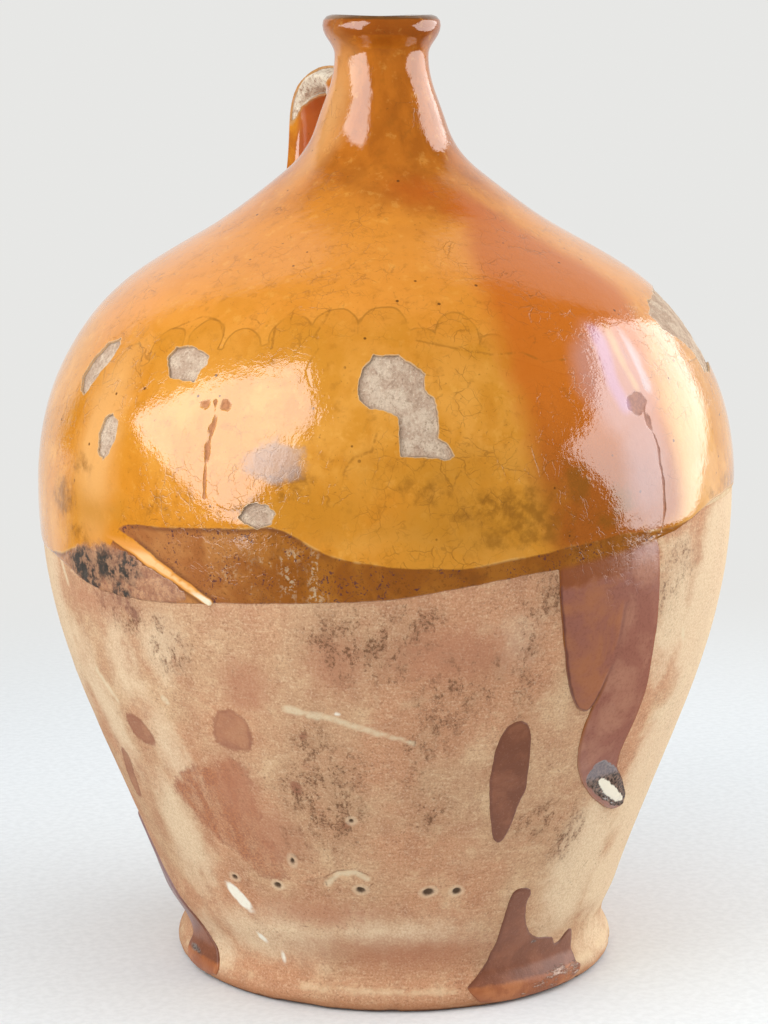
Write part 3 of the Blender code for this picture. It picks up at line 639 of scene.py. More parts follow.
lower_clay = thrown_solid(
    "bare_clay_body", points, faces, lift,
    np.concatenate([np.linspace(SEAM_HEIGHT, 0.036, 14), [0.024, 0.016, 0.0115]]),
    fields, clay_finish, floor=True)
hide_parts("foot", "lower_wall")

# ------------------------------------------------- clay under the glaze
# The shoulder, neck and flat collared lip are the same clay, dipped in
# white slip and glazed. Only where glaze has flaked off does it show, rough
# and beige, with broken edges darkened by dirt and by painted shade.

# turn, height (m) and the outline across and up from there, in mm
CHIPS = {
    "centre": (-19.7, .2903, [
        (-13.5, 23.6), (-2.4, 23.3), (.5, 20.4), (6.8, 15.6), (8.4, 13.8), (7.3, 6.4), (11.5, 3.7),
        (13.1, -1.6), (13.2, -14.8), (16.6, -16.8), (19.5, -22.3), (17.8, -23.6), (-2.7, -22),
        (-3.4, -10.4), (-4.6, -5.2), (-8.8, -3.3), (-15.9, -1.3), (-20.1, 2.4), (-20.8, 10.2),
        (-18, 17.1)]),
    "grey": (-59, .3029, [
        (-13.5, 2.4), (-10.9, 8.1), (-.9, 9.3), (9.5, 5.1), (10, 1.2), (7.6, -2), (6.6, -7.8),
        (-.6, -6.6), (-7.5, -7)]),
    "right": (49.7, .3049, [
        (-23, 18), (-21, 9), (-10, 2.5), (0, -5), (2, -16.5), (14.7, -19), (30, -15), (46, -20),
        (60, -21), (69, -9), (71, 8), (62, 22), (42, 29), (22, 29), (7.9, 27), (-10, 25)]),
    "sliver": (-83, .2968, [
        (-6, -13), (-10, -6), (-7, 4), (-2, 12), (7, 16), (10, 11), (8, 2), (3, -8), (-1, -14)]),
    "oval": (-72.9, .27, [
        (-4.5, -8), (-6.5, 0), (-4, 8), (1, 10), (5.5, 7), (6.5, -1), (4, -8), (0, -11)]),
    "small": (-42.7, .2428, [
        (-8, -1), (-5.5, 3.5), (0, 5.5), (6, 4.8), (9, 1.5), (7.5, -3), (1, -5), (-5, -4)])}


def chipped(points):
    """Distance (mm) inside the flaked places."""
    return np.max([inside(flat(points, turn, height), outline)
                   for turn, height, outline in CHIPS.values()], 0)


def broken(places):
    """Small raggedness (mm) of a broken glaze edge."""
    return (0.7 * grain(places, 4.2 * MM, 31) + 0.45 * grain(places, 1.9 * MM, 32)
            + 0.2 * grain(places, 0.9 * MM, 35))


chip_finish, shader, place = start_finish("broken_clay")
chip = place.painted("chip")
crumbs = place.clouds(0.0022, 4, 0.7)
tones = place.clouds(0.009, 3, 0.6)
grit = place.clouds(0.0011, 3, 0.7)
pale_neck = place.level().rise(0.370, 0.380) * crumbs.rise(0.62, 0.45)
# dirt and painted shade: a dark ragged line round each chip, where the glaze's raised edge shades it
dirt_and_shade_edge = (chip + (crumbs - 0.5) * 2.6).rise(0.9, 0.0)
# last: clay that the glaze hides is pale, so that no dark line shows along the seam
colour = coated(
    tones.rise(0.4, 0.6).tint("b99e88", "cfb9a2"), (crumbs.rise(0.52, 0.66) * 0.4, "957a62"),
    (crumbs.rise(0.44, 0.3) * 0.4, "e2d3b8"), (grit.rise(0.54, 0.68) * 0.32, "806752"),
    (grit.rise(0.46, 0.32) * 0.32, "eadcc4"), (pale_neck * 0.8, "e9dec8"), (dirt_and_shade_edge * 0.5, "6b5340"),
    (chip.rise(-3.0, -4.5), tones.rise(0.4, 0.6).tint("d3b48e", "dfc6a2")))
feed(shader, {"Base Color": colour, "Roughness": 0.92, "Specular IOR Level": 0.25,
              "Normal": (crumbs + tones * 0.6 + grit * 0.4).relief(0.0008)})

points, faces = grid(along(SEAM_HEIGHT), along(0.4525), 4.0 * MM, (along(0.352), along(0.380)))
points, faces = refine(points, faces, lambda p: np.maximum(-chipped(p), 0), (5.0, 3.0, 2.0))
plain = on_jug(points, 0)
chip = chipped(points) + broken(plain)
rough = 0.35 + 0.22 * grain(plain, 4.5 * MM, 33) + 0.16 * grain(plain, 1.8 * MM, 34)
lift = (-0.15 - smooth(chip, -0.3, 1.2) * rough) * MM
upper_clay = thrown_solid(
    "clay_under_glaze", points, faces, lift,
    [0.4497, 0.436, 0.404, 0.385, 0.37, 0.355, 0.34, 0.32, 0.30, 0.28, 0.26, SEAM_HEIGHT],
    {"chip": chip}, chip_finish)
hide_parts("upper_wall", "neck", "lip_collar")

# ------------------------------------------------------------- glaze coat
# Honey-coloured lead glaze over white slip, brown where it lies on bare
# clay below the slip. It was poured on, so its lower edge waves, one wide
# run went far down, and a finger's trail of slip crosses the brown band.

# turn and height (m) of the glaze's lower edge, and of the slip's
GLAZE_EDGE = [
    (-99.2, .2076), (-91, .208), (-84, .2045), (-80, .2016), (-74.2, .1993), (-64.2, .199),
    (-54, .2009), (-48.7, .2029), (-31.1, .2061), (-22.1, .2078), (-13.2, .2117), (-5.5, .2151),
    (3.6, .2178), (16.3, .2225), (22.9, .2244), (27.3, .2264), (32.3, .2296), (35.7, .2322),
    (40.5, .2352), (50.6, .2362), (80, .229), (112, .214), (150, .208), (182, .214), (220, .211)]
SLIP_EDGE = [
    (-99, .2085), (-92, .209), (-86.3, .2108), (-81, .216), (-76, .2178), (-71.5, .218), (-70, .222),
    (-68.9, .23), (-66.5, .2325), (-60.6, .2341), (-51.3, .2359), (-44.6, .237), (-40.6, .2388),
    (-37.5, .2368), (-36, .2335), (-33.1, .2287), (-28.7, .2247), (-22.1, .2223), (-16.2, .2212),
    (-10.2, .2213), (-4.2, .2238), (2.3, .2259), (9, .2285), (16.2, .2303), (22.7, .2294),
    (27.3, .2289), (32.3, .2302), (36, .2328), (40.5, .2357), (50.6, .2366), (80, .2296), (112, .22),
    (150, .216), (182, .224), (220, .222), (245, .212)]
# the finger's trail: half width (mm), then turn and height of points
TRAIL = [
    (3.2, (-70.5, .2285), (-65.3, .2239), (-61.3, .2184)), (2.4, (-61.3, .2184), (-57.5, .2132)),
    (1.9, (-57.5, .2132), (-53.9, .208), (-50.8, .2028))]
# the run's two lobes: turn and height of their outlines
LEFT_LOBE = [
    (3.7, .228), (4.2, .2039), (5.5, .1851), (6.7, .1706), (8.3, .1585), (10.2, .151), (12.4, .1481),
    (13.8, .1509), (14.7, .1569), (15.9, .1646), (16.9, .1738), (17.6, .1808), (18.2, .1925),
    (18.6, .2042), (18.6, .228)]
RIGHT_LOBE = [
    (23.7, .228), (25.1, .2007), (25.7, .184), (26, .1695), (26.7, .1551), (26.3, .1411), (25.2, .13),
    (24.7, .1226), (25.2, .1147), (29.1, .1063), (33.4, .0961), (33.7, .0902), (29.6, .09),
    (24.8, .0948), (20.1, .1019), (15.8, .1118), (13.8, .1204), (12.8, .1295), (12.8, .1397),
    (13.5, .1496), (14.7, .1569), (15.2, .166), (15.6, .18), (15.8, .204), (15.8, .228)]
RUN_MIDDLE = (16.0, 0.16)
# where its end swells into a bead
BEAD = [(26.6, .101, 9.5, 14, 42)]
# the snapped bead and its white heart: turn and height of their outlines
BEAD_BREAK = [
    (16.8, .1125), (18, .1205), (20.3, .121), (24.3, .115), (28.8, .1075), (33.4, .0985), (34, .0925),
    (31.8, .0912), (27.8, .0945), (23.3, .1005), (19.3, .107)]
BEAD_HEART = [
    (20.4, .1105), (21.8, .111), (24.3, .1075), (28.3, .1015), (32.1, .0955), (32.4, .0935),
    (29.8, .094), (26.3, .0985), (22.8, .1035)]
# the scorched patch, and the ovals of its blistered, charred parts
BURNT = [
    (-86.5, .2085), (-83.8, .2135), (-77.9, .2194), (-71.1, .2225), (-64.3, .2215), (-58.3, .2185),
    (-54.9, .21), (-55.5, .202), (-60.1, .196), (-67, .1955), (-73, .1975), (-80.6, .2009)]
CHARRED = [(-78, .208, 13, 8), (-72, .2125, 8, 6), (-66.5, .2125, 6, 6), (-68, .2, 5, 5)]
# cracks, the tide marks of the pouring, and burst places
CRACKS = [
    (.45, (-51.4, .2895), (-50.7, .2801), (-51.1, .2737), (-51.3, .2674), (-51.2, .2589),
     (-51.1, .249)),
    (.4, (23, .2866), (22.9, .2758), (24, .2707), (24.5, .2653), (24.4, .2583), (24.8, .2511),
     (24.8, .2444), (24.9, .2376), (24.2, .2284)), (.3, (96, .3), (98, .285), (97, .27), (100, .255)),
    (.3, (170, .29), (168, .275), (171, .26))]
TIDES = [
    (.22, (-35.7, .3183), (-34.9, .3124), (-36, .3075), (-36.4, .3035), (-35.4, .2975)),
    (.22, (-33.9, .3282), (-34.7, .3234), (-36, .3171)), (.2, (-44.2, .3232), (-43.4, .3117)),
    (.2, (-29.5, .2556), (-29.2, .2635), (-27.8, .269), (-25.1, .2715), (-24.4, .2786)),
    (.18, (-17.5, .3158), (-9.8, .312), (-4.5, .3095), (1.5, .3098)),
    (.18, (1.5, .3098), (5, .3055), (11, .306)),
    (.2, (-66.3, .3167), (-60.7, .3226), (-56.4, .3215), (-53.3, .3146))]
SPALLS = [
    (21.8, .2852, 6.6, 5.2, 20), (23.4, .2775, 1.6, 4), (-53.2, .288, 2.8, 1.9),
    (-49.3, .2882, 2.6, 2.4), (-51.3, .27, 1.1, 4.5, 8), (-51, .279, 1.2, 3, -14)]
# the darker, redder right side: turn and height of its outline
RED_SIDE = [
    (13.4, .3752), (2, .35), (-2, .335), (-3, .315), (-1.5, .291), (-.5, .262), (1, .235), (3, .222),
    (16, .221), (30, .232), (30, .25), (27, .29), (38, .325), (36, .345), (24, .365)]
# where a second pour of glaze stops: lobes and the line between them
POURS = [
    (-40.5, .3165, 9.5, 12), (-32.5, .3195, 10, 13), (-23.4, .32, 10, 13.5), (-16.5, .315, 7, 8),
    (-9.8, .3175, 9.5, 13), (-3.5, .311, 7, 9), (-49.5, .3115, 9, 10), (-57.5, .313, 9, 12),
    (-65.5, .308, 9, 12), (-73.5, .299, 9, 12), (-82, .288, 9, 12), (60, .305, 12, 12),
    (70, .31, 12, 14), (100, .31, 14, 14), (112, .305, 14, 14), (140, .3, 14, 16), (180, .31, 14, 14),
    (195, .305, 14, 14), (225, .3, 14, 16)]
POUR_LINE = [
    (-100, .27), (-82, .286), (-73, .297), (-65, .306), (-57, .3105), (-49, .3105), (-40, .3155),
    (-32, .3185), (-23, .319), (-10, .3165), (-3, .31), (8, .3), (40, .296), (70, .3), (100, .302),
    (150, .295), (200, .3), (255, .275)]
# tones laid by the fire: deeper glaze, olive, grime, a dull film, lustre and flecks, with painted
# light among them: paler glaze is painted sheen, the film's and lustre's colours are painted
# reflection, and two grime spots by the film are a painted shadow
TONES = {
    "deep": [(12, .368, 12, 12), (-1, .374, 10, 7), (120, .3, 50, 40), (200, .27, 60, 30)],
    # painted sheen: paler glaze at the left and right sides and the neck's left, where the softboxes'
    # reflections spread
    "painted_sheen": [(-75, .265, 15, 44), (36, .256, 18, 46), (-78, .405, 8, 34), (150, .28, 20, 30)],
    "olive": [
        (-10, .242, 38, 15), (-34, .245, 26, 12), (-15, .262, 30, 10), (-75, .236, 30, 8),
        (95, .25, 50, 18), (170, .24, 60, 16)],
    "grime_and_shadow": [
        # grime; the spots at turns -38 and -37.2 are a painted shadow below the dull film
        (-5, .2465, 22, 9), (-1, .237, 20, 7), (-79, .2235, 10, 5), (-38, .2552, 6, 3),
        (7, .2555, 7, 10, 10), (-37.2, .258, 9, 6, 20), (-18, .2555, 14, 5, -8), (15, .243, 9, 12),
        (-44, .245, 6, 5), (-79, .255, 6, 4), (-84, .238, 14, 9), (-60, .243, 5, 4), (12, .237, 10, 6),
        (60, .24, 40, 5), (140, .235, 50, 7), (205, .236, 40, 6)],
    # film: a duller place in the left softbox's reflection; its lilac grey is a painted reflection
    "dull_film_and_reflection": [(-40, .266, 14, 9)],
    # lustre: weathered glaze whose iridescence is painted as reflection on the right softbox's mirrored
    # patch
    "lustre_reflection": [(19, .296, 24, 30), (21, .262, 16, 34)],
    "fleck": [
        (-37.5, .2165, 6, 13), (-33.6, .215, 3, 14), (-43.5, .213, 3, 9), (-40.5, .224, 5, 4),
        (-47, .218, 3, 4)]}
# soft coloured bands in that lustre, painted as the reflection they give: half width (mm), then turn and
# height of points
BANDS = {
    "lilac_sheen": [(5, (19, .3165), (18.9, .3087), (18.2, .3013), (17.9, .2942), (19, .285))],
    "yellow_sheen": [(2.6, (22.9, .3175), (22.1, .308), (22.2, .3004), (23, .2917))],
    "white_sheen": [(3.4, (26.5, .3165), (26.3, .3072), (26.1, .2995), (26, .2909))]}
GLAZE, SLIP = 0.6, 0.25          # thickness, mm


def edge_gap(points, edge):
    """Distance (mm) above a wavy edge that runs round the jug."""
    turns, heights = np.array(sorted(edge)).T
    turns = np.concatenate([turns - 360, turns, turns + 360])
    levels = np.tile(along(heights), 3)
    fine = np.arange(-200, 560, 0.5)
    window = np.hanning(11)
    soft = np.convolve(np.interp(fine, turns, levels), window / window.sum(), "same")
    at = (points[:, 0] + 180) % 360 - 180
    level = np.interp(at, fine, soft)
    slope = np.interp(at, fine, np.gradient(soft, np.radians(0.5))) / 0.16
    return (points[:, 1] - level) / MM / np.hypot(1, slope)


def union(a, b, blend):
    """The larger of two distances, with a fillet `blend` mm wide between."""
    h = np.clip(0.5 + 0.5 * (a - b) / blend, 0, 1)
    return b + (a - b) * h + blend * h * (1 - h)


def glazed(points):
    """Distance (mm) inside the glaze, its run included."""
    plain = on_jug(points, 0)
    wave = 0.3 * grain(plain, 7 * MM, 41) + 0.12 * grain(plain, 2.4 * MM, 42)
    run = union(within(points, LEFT_LOBE, RUN_MIDDLE), within(points, RIGHT_LOBE, RUN_MIDDLE), 0.6)
    edge = edge_gap(points, GLAZE_EDGE)
    return union(union(edge, run, 1.2), strokes(points, TRAIL), 0.8) + wave


points, faces = grid(along(0.084), V[-1] - 1 * MM, 2.0 * MM, (along(0.352), along(0.392)))
faces = faces[glazed(points)[faces].max(1) > -4]
used, faces = np.unique(faces, return_inverse=True)
points, faces = points[used], faces.reshape(-1, 3)


def worth_refining(points):
    """Distance (mm) from the nearest edge or flaw, taken longer at the back's edge."""
    at_back = np.where(points[:, 0] > 80, 1.5, 0)
    flaws = np.maximum(strokes(points, CRACKS), strokes(points, TIDES))
    return np.min([np.abs(glazed(points)) + at_back, np.abs(chipped(points)), np.abs(flaws),
                   np.abs(within(points, BEAD_BREAK, RUN_MIDDLE))], 0)


points, faces = refine(points, faces, worth_refining, (3.0, 1.3))
points, faces = trim(points, faces, np.minimum(
    glazed(points), -(chipped(points) + broken(on_jug(points, 0)))))

plain = on_jug(points, 0)
gap = glazed(points)
trail = strokes(points, TRAIL) + 0.4 * grain(plain, 5 * MM, 44)
slip = np.maximum(edge_gap(points, SLIP_EDGE) + 0.5 * grain(plain, 9 * MM, 43), trail)
lower = -edge_gap(points, GLAZE_EDGE)
left, right = within(points, LEFT_LOBE, RUN_MIDDLE), within(points, RIGHT_LOBE, RUN_MIDDLE)
run = np.maximum(left, right)
burnt = (within(points, BURNT, (-70, 0.208)) + 2.2 * grain(plain, 7 * MM, 45)
         + 1.2 * grain(plain, 3 * MM, 52) - 12 * smooth(trail, -1.5, 0.5))
snapped = within(points, BEAD_BREAK, RUN_MIDDLE) + 0.7 * grain(plain, 3 * MM, 50)
heart = within(points, BEAD_HEART, RUN_MIDDLE) + 0.5 * grain(plain, 2.2 * MM, 51)
cracks = (strokes(points, CRACKS) + 0.45 * grain(plain, 6 * MM, 53)
          + 0.35 * grain(plain, 2.5 * MM, 56))
tides = strokes(points, TIDES) + 0.3 * grain(plain, 7 * MM, 57)
spalls = blots(points, SPALLS) + 0.9 * grain(plain, 2.5 * MM, 54)
dome = np.sqrt(1 - (1 - np.clip(gap / 1.1, 0, 1)) ** 2)
in_run = smooth(lower, -2, 10)
lobes = 0.45 * smooth(np.maximum(left, right - 0.4), 0, 6) * smooth(np.abs(left - right), 0, 3.5)
break_depth = 1.2 * smooth(snapped, -0.3, 1.2) * (1 - 0.5 * smooth(heart, -0.5, 1))
thick = np.maximum(
    GLAZE + SLIP * smooth(slip, -2.5, 2.5) + 0.16 * smooth(trail, -1.5, 2.4) + in_run * lobes
    + 0.9 * smooth(blots(points, BEAD), 0, 5) - break_depth, 0.35)
skin = (0.24 * grain(plain, 38 * MM, 46) + 0.10 * grain(plain, 16 * MM, 47)
        + 0.032 * grain(plain, 7 * MM, 55)) * smooth(plain[:, 2], 0.45, 0.37)
scaly = smooth(burnt, -2, 4) * (0.22 * grain(plain, 3.1 * MM, 48) + 0.12 * grain(plain, 1.5 * MM, 49))
flaw = (0.35 * smooth(cracks, -0.3, 0.8) + 0.10 * smooth(tides, -0.4, 0.3)
        + 0.3 * smooth(spalls, -0.5, 1))
lift = thick * dome + skin * smooth(gap, 0, 6) + scaly - flaw


SKIRT = 0.45         # mm that a skin's side wall goes into the clay


def skirted(points, faces, lift, placing, fields):
    """Adds the thin side walls where a skin of glaze ends."""
    rim = border_of(faces)
    used, ends = np.unique(rim, return_inverse=True)
    ends = ends.reshape(-1, 2) + len(points)
    places = np.vstack([placing(points, lift * MM),
                        placing(points[used], np.full(len(used), -SKIRT * MM))])
    (a, b), (c, d) = rim.T, ends.T
    faces = np.vstack([faces, np.stack([b, a, c], 1), np.stack([b, c, d], 1)])
    return places, faces, {k: np.concatenate([v, v[used]]) for k, v in fields.items()}


fields = {name: blots(points, rows) for name, rows in TONES.items()}
fields |= {name: strokes(points, rows) for name, rows in BANDS.items()}
# 0 to 1 over the jug's left side, where the brown band gets a painted sheen, over its right side, and
# where the slip's edge is dark at the left
turn = (points[:, 0] + 180) % 360 - 180
fields |= {
    "left_sheen": smooth(-turn, 34, 58) * smooth(turn, -150, -120),
    "right_side": smooth(turn, 34, 40) * smooth(-turn, -120, -90),
    "left_line": smooth(-turn, 30, 40) * smooth(turn, -150, -120),
    "slip": slip, "edge": gap, "run": run, "seam": left - right, "burnt": burnt, "trail": trail,
    "lower": lower, "chip": chipped(points) + broken(plain), "snapped": snapped, "heart": heart,
    "crack": cracks, "tide": tides, "spall": spalls,
    "charred": blots(points, CHARRED) + 2.5 * grain(plain, 4 * MM, 58),
    "red_side": within(points, RED_SIDE, (14, 0.285)),
    "pour": (np.maximum(blots(points, POURS), -edge_gap(points, POUR_LINE))
             + 0.9 * grain(plain, 6 * MM, 59))}
places, faces, fields = skirted(points, faces, lift, on_jug, fields)

# honey glaze over slip: golden, redder high up, with specks and pin holes
glaze_finish, shader, place = start_finish("honey_glaze")
height = place.level()
slip, lower, trail = place.painted("slip"), place.painted("lower"), place.painted("trail")
wide = place.clouds(0.09, 3, 0.55, 0.5)
mid = place.clouds(0.024, 4, 0.6, 0.5)
small = place.clouds(0.006, 4, 0.65)
tiny = place.clouds(0.0015, 3, 0.6)
flows = place.stretched(1, 1, 0.35).clouds(0.011, 4, 0.6, 0.4)
neck_flows = place.stretched(1, 1, 0.3).clouds(0.010, 4, 0.6, 0.3)
wobble = small - 0.5
wavy_height = height + (mid - 0.5) * 0.05
colour = coated(
    mid.rise(0.42, 0.62).tint("d08c2e", "dc9a40"), (wide.rise(0.48, 0.66) * 0.6, "d0801c"),
    (flows.rise(0.52, 0.68) * 0.4, "c27a1c"), (wavy_height.rise(0.30, 0.345) * 0.75, "e08e34"),
    (wavy_height.rise(0.350, 0.392) * 0.92, neck_flows.rise(0.36, 0.64).tint("b8681a", "a35812")),
    ((height + wobble * 0.01).rise(0.436, 0.447) * 0.75, "8c450f"),
    ((height + wobble * 0.002).rise(0.4523, 0.4531) * 0.8, "5e4322"),
    (small.rise(0.54, 0.70) * 0.26, "945a18"), (small.rise(0.44, 0.30) * 0.20, "f2b95c"),
    (tiny.rise(0.66, 0.74) * 0.45, "6f4317"))
# the second pour and its lower line, then the tones laid by the fire
cloudy = (mid - 0.5) * 30
pour = place.painted("pour")
pour_line = pour.rise(-0.6, -0.1) * pour.rise(0.7, 0.1) * mid.rise(0.40, 0.56)
red_side = (place.painted("red_side") + cloudy * 0.6).rise(-8, 9)
ember = (height + (mid - 0.5) * 0.02).rise(0.30, 0.245).tint("c4661a", "9a4c16")
# grime, and a painted shadow below the dull film
dirt_and_shadow = (place.painted("grime_and_shadow") + cloudy * 0.5 + wobble * 14).rise(-3, 6)
colour = coated(
    colour, (pour.rise(-0.5, 0.4) * pour.rise(26, 2) * 0.34, "c07c1c"), (pour_line * 0.45, "86581a"),
    ((place.painted("deep") + cloudy).rise(-10, 16) * 0.85, "b85a18"), (red_side * 0.86, ember),
    # painted sheen: the paler glaze at the sides
    ((place.painted("painted_sheen") + cloudy * 0.4).rise(-9, 9) * 0.6, "eab474"),
    ((place.painted("olive") + cloudy).rise(-7, 9) * 0.65, "bb7d22"),
    (dirt_and_shadow * small.rise(0.3, 0.6) * 0.65, "855416"))
# crazing in two sizes, tide marks left by the pouring, cracks, burst places, specks and a dull film
# whose colour is a painted reflection
bend = place.node("ShaderNodeTexNoise", {}, {"Vector": place, "Scale": 90.0, "Detail": 4.0}, 1)
bent = place.vector("ADD", bend.stretched(0.009, 0.009, 0.009))
patchy = place.clouds(0.045, 3, 0.6).rise(0.42, 0.60) * place.clouds(0.007, 3, 0.6).rise(0.40, 0.56)
craze = bent.cells(0.0105, "DISTANCE_TO_EDGE").rise(0.030, 0.006) * patchy
craze = craze.most(bent.cells(0.0048, "DISTANCE_TO_EDGE").rise(0.045, 0.008) * patchy * 0.6)
tide = (place.painted("tide") + wobble * 0.9).rise(-0.7, 0.3) * small.rise(0.36, 0.55)
crack = place.painted("crack") + wobble * 0.8
spall = place.painted("spall") + (tiny - 0.5) * 1.2
opened = crack.rise(-0.3, 0.3).most(spall.rise(-0.6, 0.6))
dots = place.cells(0.0105).rise(0.090, 0.05) * place.clouds(0.021, 2, 0.5).rise(0.48, 0.53)
dull_film_and_reflection = (place.painted("dull_film_and_reflection") + cloudy * 0.3 + wobble * 6).rise(-1.5, 3)
colour = coated(
    colour, (craze * 0.42, "74481a"), (tide * 0.5, "8f5c1c"),
    (opened * 0.85, tiny.rise(0.4, 0.6).tint("a0623c", "bb7a50")), (dots * 0.85, "5b3412"),
    # painted reflection: the dull film's lilac grey
    (dull_film_and_reflection * 0.6, "a8938c"))
# weathered lustre with soft coloured bands, their pale lilac grey, lilac, white and yellow painted as
# the reflection of the right softbox
lustre_reflection = (place.painted("lustre_reflection") + cloudy * 0.4).rise(-4, 10)
colour = coated(colour, (lustre_reflection * 0.30, "c4b2bc"), *[
    ((place.painted(band) + cloudy * 0.1).rise(-1, reach) * lustre_reflection * share, code)
    for band, reach, share, code in (("lilac_sheen", 4, 0.35, "c9a8e0"), ("white_sheen", 2.5, 0.5, "dfe4f0"),
                                     ("yellow_sheen", 2.2, 0.3, "f6d98a"))])
# brown where the glaze lies on bare clay, with the slip's edge above and its trail across
on_clay = (slip + wobble * 1.2).rise(0.45, -0.45)
top_line = slip.rise(-3.0, -0.8) * place.painted("left_line") * mid.rise(0.35, 0.5)
fleck = place.painted("fleck") + (mid - 0.5) * 16
flecks = place.clouds(0.0017, 3, 0.65).rise(0.50, 0.58) * fleck.rise(-3, 5)
flecks = flecks * place.stretched(1, 1, 0.4).clouds(0.005, 3, 0.6).rise(0.44, 0.56)
soot = tiny.rise(0.43, 0.37) * place.clouds(0.014, 3, 0.6).rise(0.44, 0.58)
brown = coated(
    mid.rise(0.4, 0.62).tint("8f5216", "a2641f"), (small.rise(0.5, 0.68) * 0.4, "76451a"),
    # painted sheen: the brown band paler and pinker at the left, where the left softbox's reflection
    # spreads
    (place.painted("left_sheen") * 0.75, mid.rise(0.4, 0.6).tint("a8693c", "bf8450")),
    (top_line * 0.6, "6a3c26"), (tiny.rise(0.56, 0.68) * 0.4, "5c3310"), (flecks * 0.75, "cdb896"),
    (soot * 0.75, "402536"))
slip_line = slip.rise(-1.0, -0.1) * slip.rise(0.9, 0.3) * mid.rise(0.45, 0.6)
trail_rim = trail.rise(-1.0, -0.3) * trail.rise(0.4, -0.1) * height.rise(0.228, 0.224) * on_clay
colour = coated(
    colour, (on_clay, brown), (slip_line * 0.3, "e0b878"), (trail_rim * 0.6, "6a3a18"),
    (trail.rise(-0.6, 0.6) * height.rise(0.2275, 0.2235) * 0.85, "e49a4c"),
    # painted highlight: the trail's pale cream middle lower down
    (trail.rise(0.3, 1.5) * height.rise(0.2235, 0.2195) * 0.7, "f6cf96"),
    (trail.rise(0.0, 0.9) * height.rise(0.2075, 0.2045) * 0.85, "ebe6cc"))
# the run and its broken bead
in_run = place.painted("run").rise(-0.5, 0.8) * lower.rise(-2.0, 2.0) * on_clay
side = place.painted("seam") + wobble * 2.5
run_rim = (place.painted("edge") + wobble * 2).rise(1.9, 0.5)
fresh = (lower + wobble * 10).rise(11, 7) * side.rise(-4, 0)
russet = coated(
    mid.rise(0.4, 0.65).tint("9a5f4c", "b0775e"), (tiny.rise(0.5, 0.64) * 0.22, "6e3c2c"),
    (side.rise(0.5, 5) * mid.rise(0.35, 0.6) * 0.6, "a6602f"),
    (side.rise(-3.4, -0.6) * side.rise(3.4, 0.4) * mid.rise(0.42, 0.55) * 0.4, "7b4d42"),
    (run_rim * 0.75, side.rise(-2, 2).tint("9a5a36", "5e2e22")), (fresh * 0.85, "8c4818"))
snapped = place.painted("snapped") + (tiny - 0.5) * 1.4
scab = coated(tiny.rise(0.40, 0.62).tint("3f2f24", "85695a"),
              # painted glint: lilac grey along the top of the break
              ((height + wobble * 0.006).rise(0.1100, 0.1135) * 0.5, "9a9096"))
heart = place.painted("heart") + (tiny - 0.5) * 1.0
colour = coated(colour, (in_run, russet), (snapped.rise(-0.9, -0.2) * in_run, scab),
                (heart.rise(-0.2, 0.5) * in_run, "f4ead4"))
# the scorched, blistered patch
burnt = place.painted("burnt") + wobble * 7
scorched = burnt.rise(-1.5, 2.5) * (1 - trail.rise(-1, 0.2))
char = place.clouds(0.0042, 5, 0.75)
core = place.painted("charred") + wobble * 12
crust = char * 0.6 + place.stretched(1, 1, 0.5).clouds(0.006, 4, 0.65) * 0.4
charred = coated(
    char.rise(0.40, 0.62).tint("a36b48", "c49066"), (char.rise(0.62, 0.72) * 0.6, "c49b78"),
    (tiny.rise(0.54, 0.64) * 0.35, "6b3c34"), (core.rise(-5, 1) * 0.4, "5e4234"),
    (core.rise(-3, 2.5) * crust.rise(0.545, 0.475) * 0.93,
     small.rise(0.4, 0.6).tint("23261f", "38332b")))
# white slip shows in the broken edges round the chips and where the glaze thins out at the right
thin_edge = place.painted("edge").rise(2.2, 0.6) * place.painted("right_side")
colour = coated(colour, (scorched, charred), (place.painted("chip").rise(-0.5, 0.0) * 0.7, "d6bd98"),
                (thin_edge * 0.8, "dcb484"))
bumps = (small * 0.9 + place.clouds(0.0045, 3, 0.6) * 0.65 + tiny * 0.10 - craze * 0.35
         - opened * 1.2 + scorched * char * 2.6)
feed(shader, {
    "Base Color": colour, "IOR": 1.88, "Normal": bumps.relief(0.00015),
    "Roughness": 0.025 + in_run * 0.24 + scorched * 0.45 + opened * 0.9 + dull_film_and_reflection * 0.22 + dirt_and_shadow * 0.02
                 + on_clay * 0.06 * (1 - in_run.most(scorched)) + thin_edge * 0.5})
glaze = mesh_piece("honey_glaze_coat", places, faces, fields, glaze_finish, 50)
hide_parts("slip_coat", "glaze_coat", "glaze_run")

# ------------------------------------------------------------ strap handle
# One pulled strap of clay, luted to the neck just under the lip and to the
# shoulder, glazed with the jug. A long flake is gone from its upper edge.

# the strap's middle line from the neck over and down: distance from the axis and height (m)
STRAP_LINE = [
    (.0125, .415), (.022, .419), (.033, .4226), (.04525, .424), (.0562, .422), (.064, .4162),
    (.0692, .408), (.0717, .3975), (.073, .386), (.0742, .373), (.0754, .36), (.0765, .35)]
STRAP_WIDTH, STRAP_THICK = 34.0, 11.0       # mm
STRAP_GIRTH = 82                            # mm round its section
STRAP_SQUARE = 0.62                         # 1 is an oval section, 0 a square one
# outline of the flake: mm round the section from the neck-facing side, mm along the strap
FLAKE = [
    (13, 14), (22, 11), (33, 13), (39, 22), (38, 36), (34, 46), (29, 53), (25, 60), (22, 72),
    (18.5, 66), (14, 58), (9, 50), (4, 44), (5, 37), (2, 29), (3, 22), (6, 17)]


